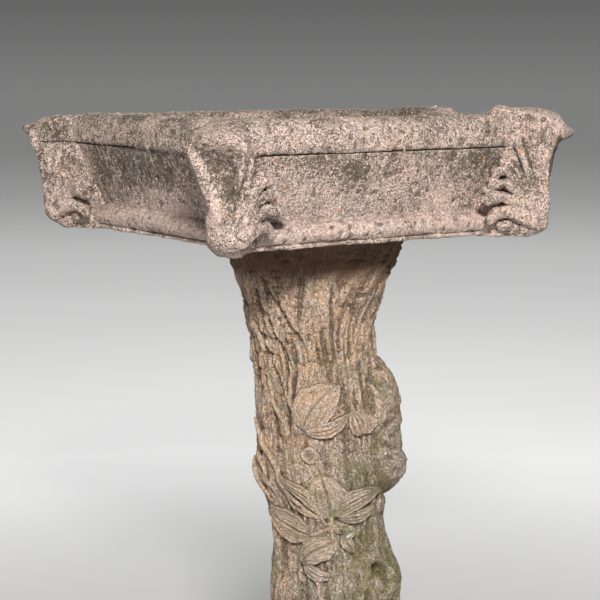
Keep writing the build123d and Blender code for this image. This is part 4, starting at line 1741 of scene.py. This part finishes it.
def end_tree(graph: Graph, given: Sequence, result: Node, geometry: NodeSocket) -> NodeTree:
    """End a geometry node tree: real, smooth and with its material.

    Args:
        graph: The graph.
        given: The sockets of its inputs, with a Material.
        result: Its output node.
        geometry: What the tree made.

    Returns:
        The finished tree.
    """
    real = graph.node("GeometryNodeRealizeInstances", {"Geometry": geometry})
    smooth = graph.node("GeometryNodeSetShadeSmooth", {"Geometry": real.outputs[0]})
    sockets = {"Geometry": smooth.outputs[0], "Material": given["Material"]}
    return graph.give(result, Geometry=graph.node("GeometryNodeSetMaterial", sockets).outputs[0])


def run_tree(holder: Object, tree: NodeTree, values: dict[str, object]) -> Object:
    """Run a tree on an object and keep what it makes as a plain mesh.

    Args:
        holder: The object whose mesh goes in, and is replaced.
        tree: The tree.
        values: Its inputs by name.

    Returns:
        The same object.
    """
    modifier = holder.modifiers.new(tree.name, "NODES")
    modifier.node_group = tree
    for item in tree.interface.items_tree:
        if item.item_type == "SOCKET" and item.in_out == "INPUT" and item.name in values:
            modifier[item.identifier] = values[item.name]
    evaluated = holder.evaluated_get(bpy.context.evaluated_depsgraph_get())
    mesh = bpy.data.meshes.new_from_object(evaluated)
    holder.modifiers.remove(modifier)
    given = holder.data
    holder.data = mesh
    mesh.name = holder.name
    bpy.data.meshes.remove(given)
    LOG.info("%s: %d faces from %s", holder.name, len(mesh.polygons), tree.name)
    return holder


def stem_tree() -> NodeTree:
    """Round stems of uneven thickness along polylines that hold a thickness at each point.

    Returns:
        The tree.
    """
    graph, given, result = geometry_tree("stems_on_lines", {
        "Lumps": "NodeSocketFloat", "Facets": "NodeSocketInt", "Material": "NodeSocketMaterial"})
    lines = graph.node("GeometryNodeMeshToCurve", {"Mesh": given["Geometry"]})
    thick = graph.node("GeometryNodeInputNamedAttribute", {"Name": "thickness"}, data_type="FLOAT")
    ring = graph.node("GeometryNodeCurvePrimitiveCircle", {"Resolution": given["Facets"], "Radius": 1.0})
    tube = graph.node("GeometryNodeCurveToMesh", {
        "Curve": lines.outputs[0], "Profile Curve": ring.outputs[0], "Scale": thick.outputs[0], "Fill Caps": True})
    bark = graph.node("ShaderNodeTexNoise", {
        "Vector": graph.node("GeometryNodeInputPosition").outputs[0], "Scale": 260.0, "Detail": 2.0})
    lift = graph.times(graph.math("SUBTRACT", bark.outputs[0], 0.5), given["Lumps"])
    away = graph.node("ShaderNodeVectorMath", {
        0: graph.node("GeometryNodeInputNormal").outputs[0], "Scale": lift}, operation="SCALE")
    moved = graph.node("GeometryNodeSetPosition", {"Geometry": tube.outputs[0], "Offset": away.outputs[0]})
    toned = graph.node("GeometryNodeStoreNamedAttribute", {
        "Geometry": moved.outputs[0], "Name": Tone.RELIEF.value,
        "Value": graph.times(graph.math("SUBTRACT", bark.outputs[0], 0.48), 3.0)},
        data_type="FLOAT", domain="POINT")
    return end_tree(graph, given, result, toned.outputs[0])


GRAINS_ABOVE = 0.62  # height under which no loose grains lie, metres


def crumb_tree() -> NodeTree:
    """Loose grains of crushed stone, scattered where a skin is stained and faces up or out.

    Returns:
        The tree.
    """
    graph, given, result = geometry_tree("grains_on_skin", {
        "Density": "NodeSocketFloat", "Smallest": "NodeSocketFloat", "Largest": "NodeSocketFloat",
        "Seed": "NodeSocketInt", "Material": "NodeSocketMaterial"})
    stain = graph.node("GeometryNodeInputNamedAttribute", {"Name": Tone.STAIN.value}, data_type="FLOAT")
    normal = graph.node("GeometryNodeInputNormal").outputs[0]
    height = graph.upright(graph.node("GeometryNodeInputPosition").outputs[0])
    facing = graph.mask(graph.upright(normal), -0.3, 0.4)
    share = graph.times(facing, graph.mask(stain.outputs[0], 0.0, 0.7))
    density = graph.times(given["Density"], graph.math("ADD", share, 0.12))
    shown = graph.node("FunctionNodeCompare", {0: height, 1: GRAINS_ABOVE}, data_type="FLOAT",
                       operation="GREATER_THAN")
    points = graph.node("GeometryNodeDistributePointsOnFaces", {
        "Mesh": given["Geometry"], "Selection": shown.outputs[0], "Density": density,
        "Seed": given["Seed"]}, distribute_method="RANDOM")
    grain = graph.node("GeometryNodeMeshIcoSphere", {"Radius": 1.0, "Subdivisions": 1})
    turned = graph.node("FunctionNodeRandomValue", {
        "Min": (0.0, 0.0, 0.0), "Max": (6.28, 6.28, 6.28), "Seed": 5}, data_type="FLOAT_VECTOR")
    squash = graph.node("FunctionNodeRandomValue", {
        "Min": (0.6, 0.6, 0.45), "Max": (1.25, 1.25, 1.0), "Seed": 9}, data_type="FLOAT_VECTOR")
    lot = graph.node("FunctionNodeRandomValue", {2: 0.0, 3: 1.0, "Seed": 13}, data_type="FLOAT")
    spread = graph.math("SUBTRACT", given["Largest"], given["Smallest"])
    skewed = graph.math("POWER", lot.outputs[1], 2.5)
    size = graph.math("ADD", given["Smallest"], graph.times(spread, skewed))
    scale = graph.node("ShaderNodeVectorMath", {0: squash.outputs[0], "Scale": size}, operation="SCALE")
    grains = graph.node("GeometryNodeInstanceOnPoints", {
        "Points": points.outputs[0], "Instance": grain.outputs[0], "Rotation": turned.outputs[0],
        "Scale": scale.outputs[0]})
    return end_tree(graph, given, result, grains.outputs[0])


# --- Sub-assemblies ---


@dataclass
class Bowl:
    """Everything that lifts off: the basin with its corner leaves and loose grains, and its steel."""

    seat: float
    effects: SharedEffects
    leaves: tuple[LeafWear, ...] = (
        LeafWear(Corner.NEAR, (-1.0, 99.0), 3.0, 0.5, shift=8.0, spread=1.25, wall_stain=0.25),
        LeafWear(Corner.RIGHT, (99.0, 99.0), -1.0, 8.5, foot=6.0, under_lip_stain_and_shade=0.8),
        LeafWear(Corner.FAR, (99.0, 99.0), 5.0, -1.0),
        LeafWear(Corner.LEFT, (99.0, 17.0), 1.0, -1.5, wall_stain=0.15),
    )
    grain_density: float = 30000.0

    def build(self, frame: dict) -> None:
        """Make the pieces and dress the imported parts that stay.
        """
        stone = BASIN_STONE.material(self.effects)
        casting = BasinCasting(self.seat)
        rim_skin = casting.rim()
        rim = rim_skin.to_object("basin_rim", stone)
        pieces = [rim, casting.apron().to_object("basin_apron", stone)]
        carver = CornerLeaf(casting.rim_half, self.seat)
        for wear in self.leaves:
            pieces.append(carver.place(wear).to_object(f"corner_leaf_{wear.corner.name.lower()}", stone))
        grains = rim_skin.to_object("rim_grains", stone)
        run_tree(grains, crumb_tree(), {
            "Density": self.grain_density, "Smallest": 0.0006, "Largest": 0.0018, "Seed": 3,
            "Material": CRUMB_STONE.material(self.effects)})
        pieces.append(grains)
        for piece in pieces:
            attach(piece, Body.BASIN.value)
        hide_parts("basin")
        bars = BAR_STEEL.material(self.effects)
        dress(frame, "dowel_sleeve", SLEEVE_STEEL.material(self.effects))
        for node in ("rim_hoop", "floor_bars"):
            dress(frame, node, bars)


@dataclass
class Pedestal:
    """Everything that stays put: the trunk, what grows on it, and its dowel, mortar and steel."""

    height: float
    effects: SharedEffects
    stem_facets: int = 9
    stem_lumps: float = 0.0012

    def _stem_lines(self, foliage: TrunkFoliage) -> Object:
        """Polylines of the stems, with a thickness at each point.

        Args:
            foliage: Where the stems are.

        Returns:
            A mesh object of edges.
        """
        points, edges, thickness = [], [], []
        for vine in foliage.VINES:
            line = foliage.stem_line(vine)
            first = len(points)
            points += (line * MM).tolist()
            edges += [(first + k, first + k + 1) for k in range(len(line) - 1)]
            share = np.linspace(0, 1, len(line))
            ends = 0.45 + 0.55 * np.minimum(1.0, 6.0 * np.minimum(share, 1.0 - share))
            thickness += (vine.thickness * MM * ends * (1.0 - 0.25 * share)).tolist()
        mesh = bpy.data.meshes.new("stem_lines")
        mesh.from_pydata(points, edges, [])
        mesh.attributes.new("thickness", "FLOAT", "POINT").data.foreach_set("value", thickness)
        return add_object("trunk_stems", mesh)

    def build(self, frame: dict) -> None:
        """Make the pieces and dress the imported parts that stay.
        """
        trunk = TrunkCasting(self.height)
        foliage = TrunkFoliage(trunk)
        leaf_stone = LEAF_STONE.material(self.effects)
        bark = trunk.bark().to_object("trunk_bark", TRUNK_STONE.material(self.effects))
        leaves = foliage.leaves().to_object("trunk_leaves", leaf_stone)
        stems = run_tree(self._stem_lines(foliage), stem_tree(), {
            "Lumps": self.stem_lumps, "Facets": self.stem_facets, "Material": leaf_stone})
        for piece in (bark, leaves, stems):
            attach(piece, Body.PEDESTAL.value)
        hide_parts("trunk")
        bars = BAR_STEEL.material(self.effects)
        dress(frame, "locating_dowel", DOWEL_STEEL.material(self.effects))
        dress(frame, "dowel_grout", SOCKET_GROUT.material(self.effects))
        dress(frame, "bedding_mortar", BED_MORTAR.material(self.effects))
        for node in ("trunk_bars", "trunk_ties"):
            dress(frame, node, bars)


def dress(frame: dict, node: str, material: Material) -> None:
    """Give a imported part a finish, leaving its mesh alone.

    Args:
        node: The part's name.
        material: Its finish.
    """
    for slot in frame["nodes"][node].material_slots:
        slot.material = material
    LOG.info("%s: dressed in %s", node, material.name)


# --- Studio ---


@dataclass(frozen=True)
class Softbox:
    """Rectangular lamp: where it stands, what it faces, its width and height, and its power in watts."""

    name: str
    place: tuple[float, float, float]
    aim: tuple[float, float, float]
    size: tuple[float, float]
    power: float
    colour: Rgb = (1.0, 0.98, 0.95)

    def hang(self) -> None:
        """Add the lamp to the scene."""
        lamp = bpy.data.lights.new(self.name, "AREA")
        lamp.shape = "RECTANGLE"
        lamp.size, lamp.size_y = self.size
        lamp.energy = self.power
        lamp.color = self.colour
        made = add_object(self.name, lamp)
        made.location = self.place
        made.rotation_euler = (Vector(self.aim) - Vector(self.place)).to_track_quat("-Z", "Y").to_euler()


@dataclass
class Studio:
    """Pale floor that curves up into a wall all round, soft lamps and the camera."""

    camera_place: tuple[float, float, float] = (-0.971, -1.456, 0.766)
    camera_pitch: float = math.radians(90.0 - 8.11)
    camera_yaw: float = math.radians(-34.04)
    lens: float = 102.0
    sensor_width: float = 36.0
    sky: Rgb = (0.95, 0.97, 1.0)
    sky_strength: float = 0.07
    floor_radius: float = 3.0
    wall_radius: float = 5.6
    wall_height: float = 4.2
    segments: int = 96
    lamps: tuple[Softbox, ...] = (
        Softbox("key_softbox", (-1.04, -1.88, 1.64), (0.0, 0.0, 0.5), (0.40, 0.20), 102.0),
        Softbox("left_fill", (-2.6, -0.5, 1.5), (0.0, 0.0, 0.5), (1.6, 1.6), 12.0, (0.97, 0.98, 1.0)),
        Softbox("top_fill", (0.4, 0.3, 3.0), (0.0, 0.0, 0.5), (2.0, 2.0), 18.0),
        Softbox("back_fill", (1.9, 2.1, 1.6), (0.0, 0.0, 0.5), (1.8, 1.4), 11.0),
    )

    # distance along the floor and up the wall, then how pale the paper is and how much painted light it gives off
    # itself
    PAPER = ((0.0, 0.55, 0.04), (0.5, 0.44, 0.17), (0.65, 0.38, 0.27), (0.85, 0.33, 0.39), (1.05, 0.3, 0.50),
             (1.25, 0.3, 0.60), (1.5, 0.3, 0.66), (2.05, 0.3, 0.59), (2.7, 0.3, 0.545), (3.4, 0.35, 0.49),
             (3.85, 0.36, 0.39), (4.2, 0.3, 0.228), (4.5, 0.25, 0.137), (4.85, 0.22, 0.133), (5.3, 0.2, 0.063),
             (8.0, 0.15, 0.02))

    def _stage(self) -> None:
        """Turn the floor and wall round the upright axis."""
        bend = self.wall_radius - self.floor_radius
        turns = np.linspace(-math.pi / 2, 0.0, 24)
        profile = [(r, 0.0) for r in (0.02, 0.5, 1.0, 1.6, 2.3)]
        profile += [(self.floor_radius + bend * math.cos(t), bend + bend * math.sin(t)) for t in turns]
        profile += [(self.wall_radius, z) for z in (3.2, self.wall_height)]
        run = np.concatenate([[0.0], np.cumsum(np.hypot(*np.diff(np.array(profile), axis=0).T))])
        around = np.arange(self.segments) * 2 * math.pi / self.segments
        points = [(r * math.cos(a), r * math.sin(a), z) for r, z in profile for a in around]
        faces = [tuple(range(self.segments))]
        for row in range(len(profile) - 1):
            for k in range(self.segments):
                low, high = row * self.segments, (row + 1) * self.segments
                after = (k + 1) % self.segments
                faces.append((low + k, high + k, high + after, low + after))
        mesh = bpy.data.meshes.new("studio_floor")
        mesh.from_pydata(points, [], faces)
        mesh.shade_smooth()
        distance = mesh.attributes.new("run", "FLOAT", "POINT")
        distance.data.foreach_set("value", np.repeat(run, self.segments).astype(np.float32))
        mesh.materials.append(self._paper())
        made = add_object("studio_floor", mesh)

    def _paper(self) -> Material:
        """Matt paper that glows with painted light, bright underfoot and darker up the wall.

        Returns:
            The material.
        """
        made, graph = start_material("studio_paper", (0.8, 0.8, 0.8))
        run = graph.node("ShaderNodeAttribute", attribute_name="run").outputs["Fac"]
        place = graph.node("ShaderNodeTexCoord").outputs["Object"]
        tooth = graph.noise(place, 0.004, 2.0)
        share = graph.math("DIVIDE", run, self.PAPER[-1][0])
        tones = [graph.node("ShaderNodeValToRGB", {"Fac": share}) for _ in range(2)]
        for column, ramp in enumerate(tones, start=1):
            stops = ramp.color_ramp.elements
            while len(stops) < len(self.PAPER):
                stops.new(0.5)
            for stop, row in zip(stops, self.PAPER):
                stop.position = row[0] / self.PAPER[-1][0]
                stop.color = (row[column],) * 3 + (1.0,)
        colour = graph.mix(graph.mask(tooth, 0.3, 0.7, 0.03), tones[0].outputs[0], (0.5, 0.5, 0.5))
        # Painted light: the paper glows by the second ramp though it is no lamp, brightening the backdrop and
        # softening shadows on the floor.
        graph.surface(Base_Color=colour, Roughness=0.95, Specular_IOR_Level=0.1,
                      Emission_Color=tones[1].outputs[0], Emission_Strength=1.0)
        return made

    def _camera(self) -> None:
        """Stand the camera in front, a little above the rim."""
        camera = bpy.data.cameras.new("studio_camera")
        camera.lens = self.lens
        camera.sensor_width = self.sensor_width
        camera.clip_end = 50.0
        made = add_object("studio_camera", camera)
        made.location = self.camera_place
        made.rotation_euler = (self.camera_pitch, 0.0, self.camera_yaw)
        bpy.context.scene.camera = made

    def build(self) -> None:
        """Add everything, with a dim even sky and true colours."""
        self._stage()
        self._camera()
        for lamp in self.lamps:
            lamp.hang()
        world = bpy.data.worlds.new("studio_air")
        world.use_nodes = True
        background = world.node_tree.nodes["Background"]
        background.inputs["Color"].default_value = (*self.sky, 1.0)
        background.inputs["Strength"].default_value = self.sky_strength
        bpy.context.scene.world = world
        bpy.context.scene.view_settings.view_transform = "Standard"


def main() -> None:
    """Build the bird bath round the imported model, then the studio."""
    logging.basicConfig(level=logging.INFO, format="%(name)s %(message)s")
    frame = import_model()
    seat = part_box("basin")[0][2] / MM
    effects = SharedEffects()
    Bowl(seat, effects).build(frame)
    Pedestal(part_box("trunk")[1][2] / MM, effects).build(frame)
    Studio().build()


if __name__ == "__main__":
    main()
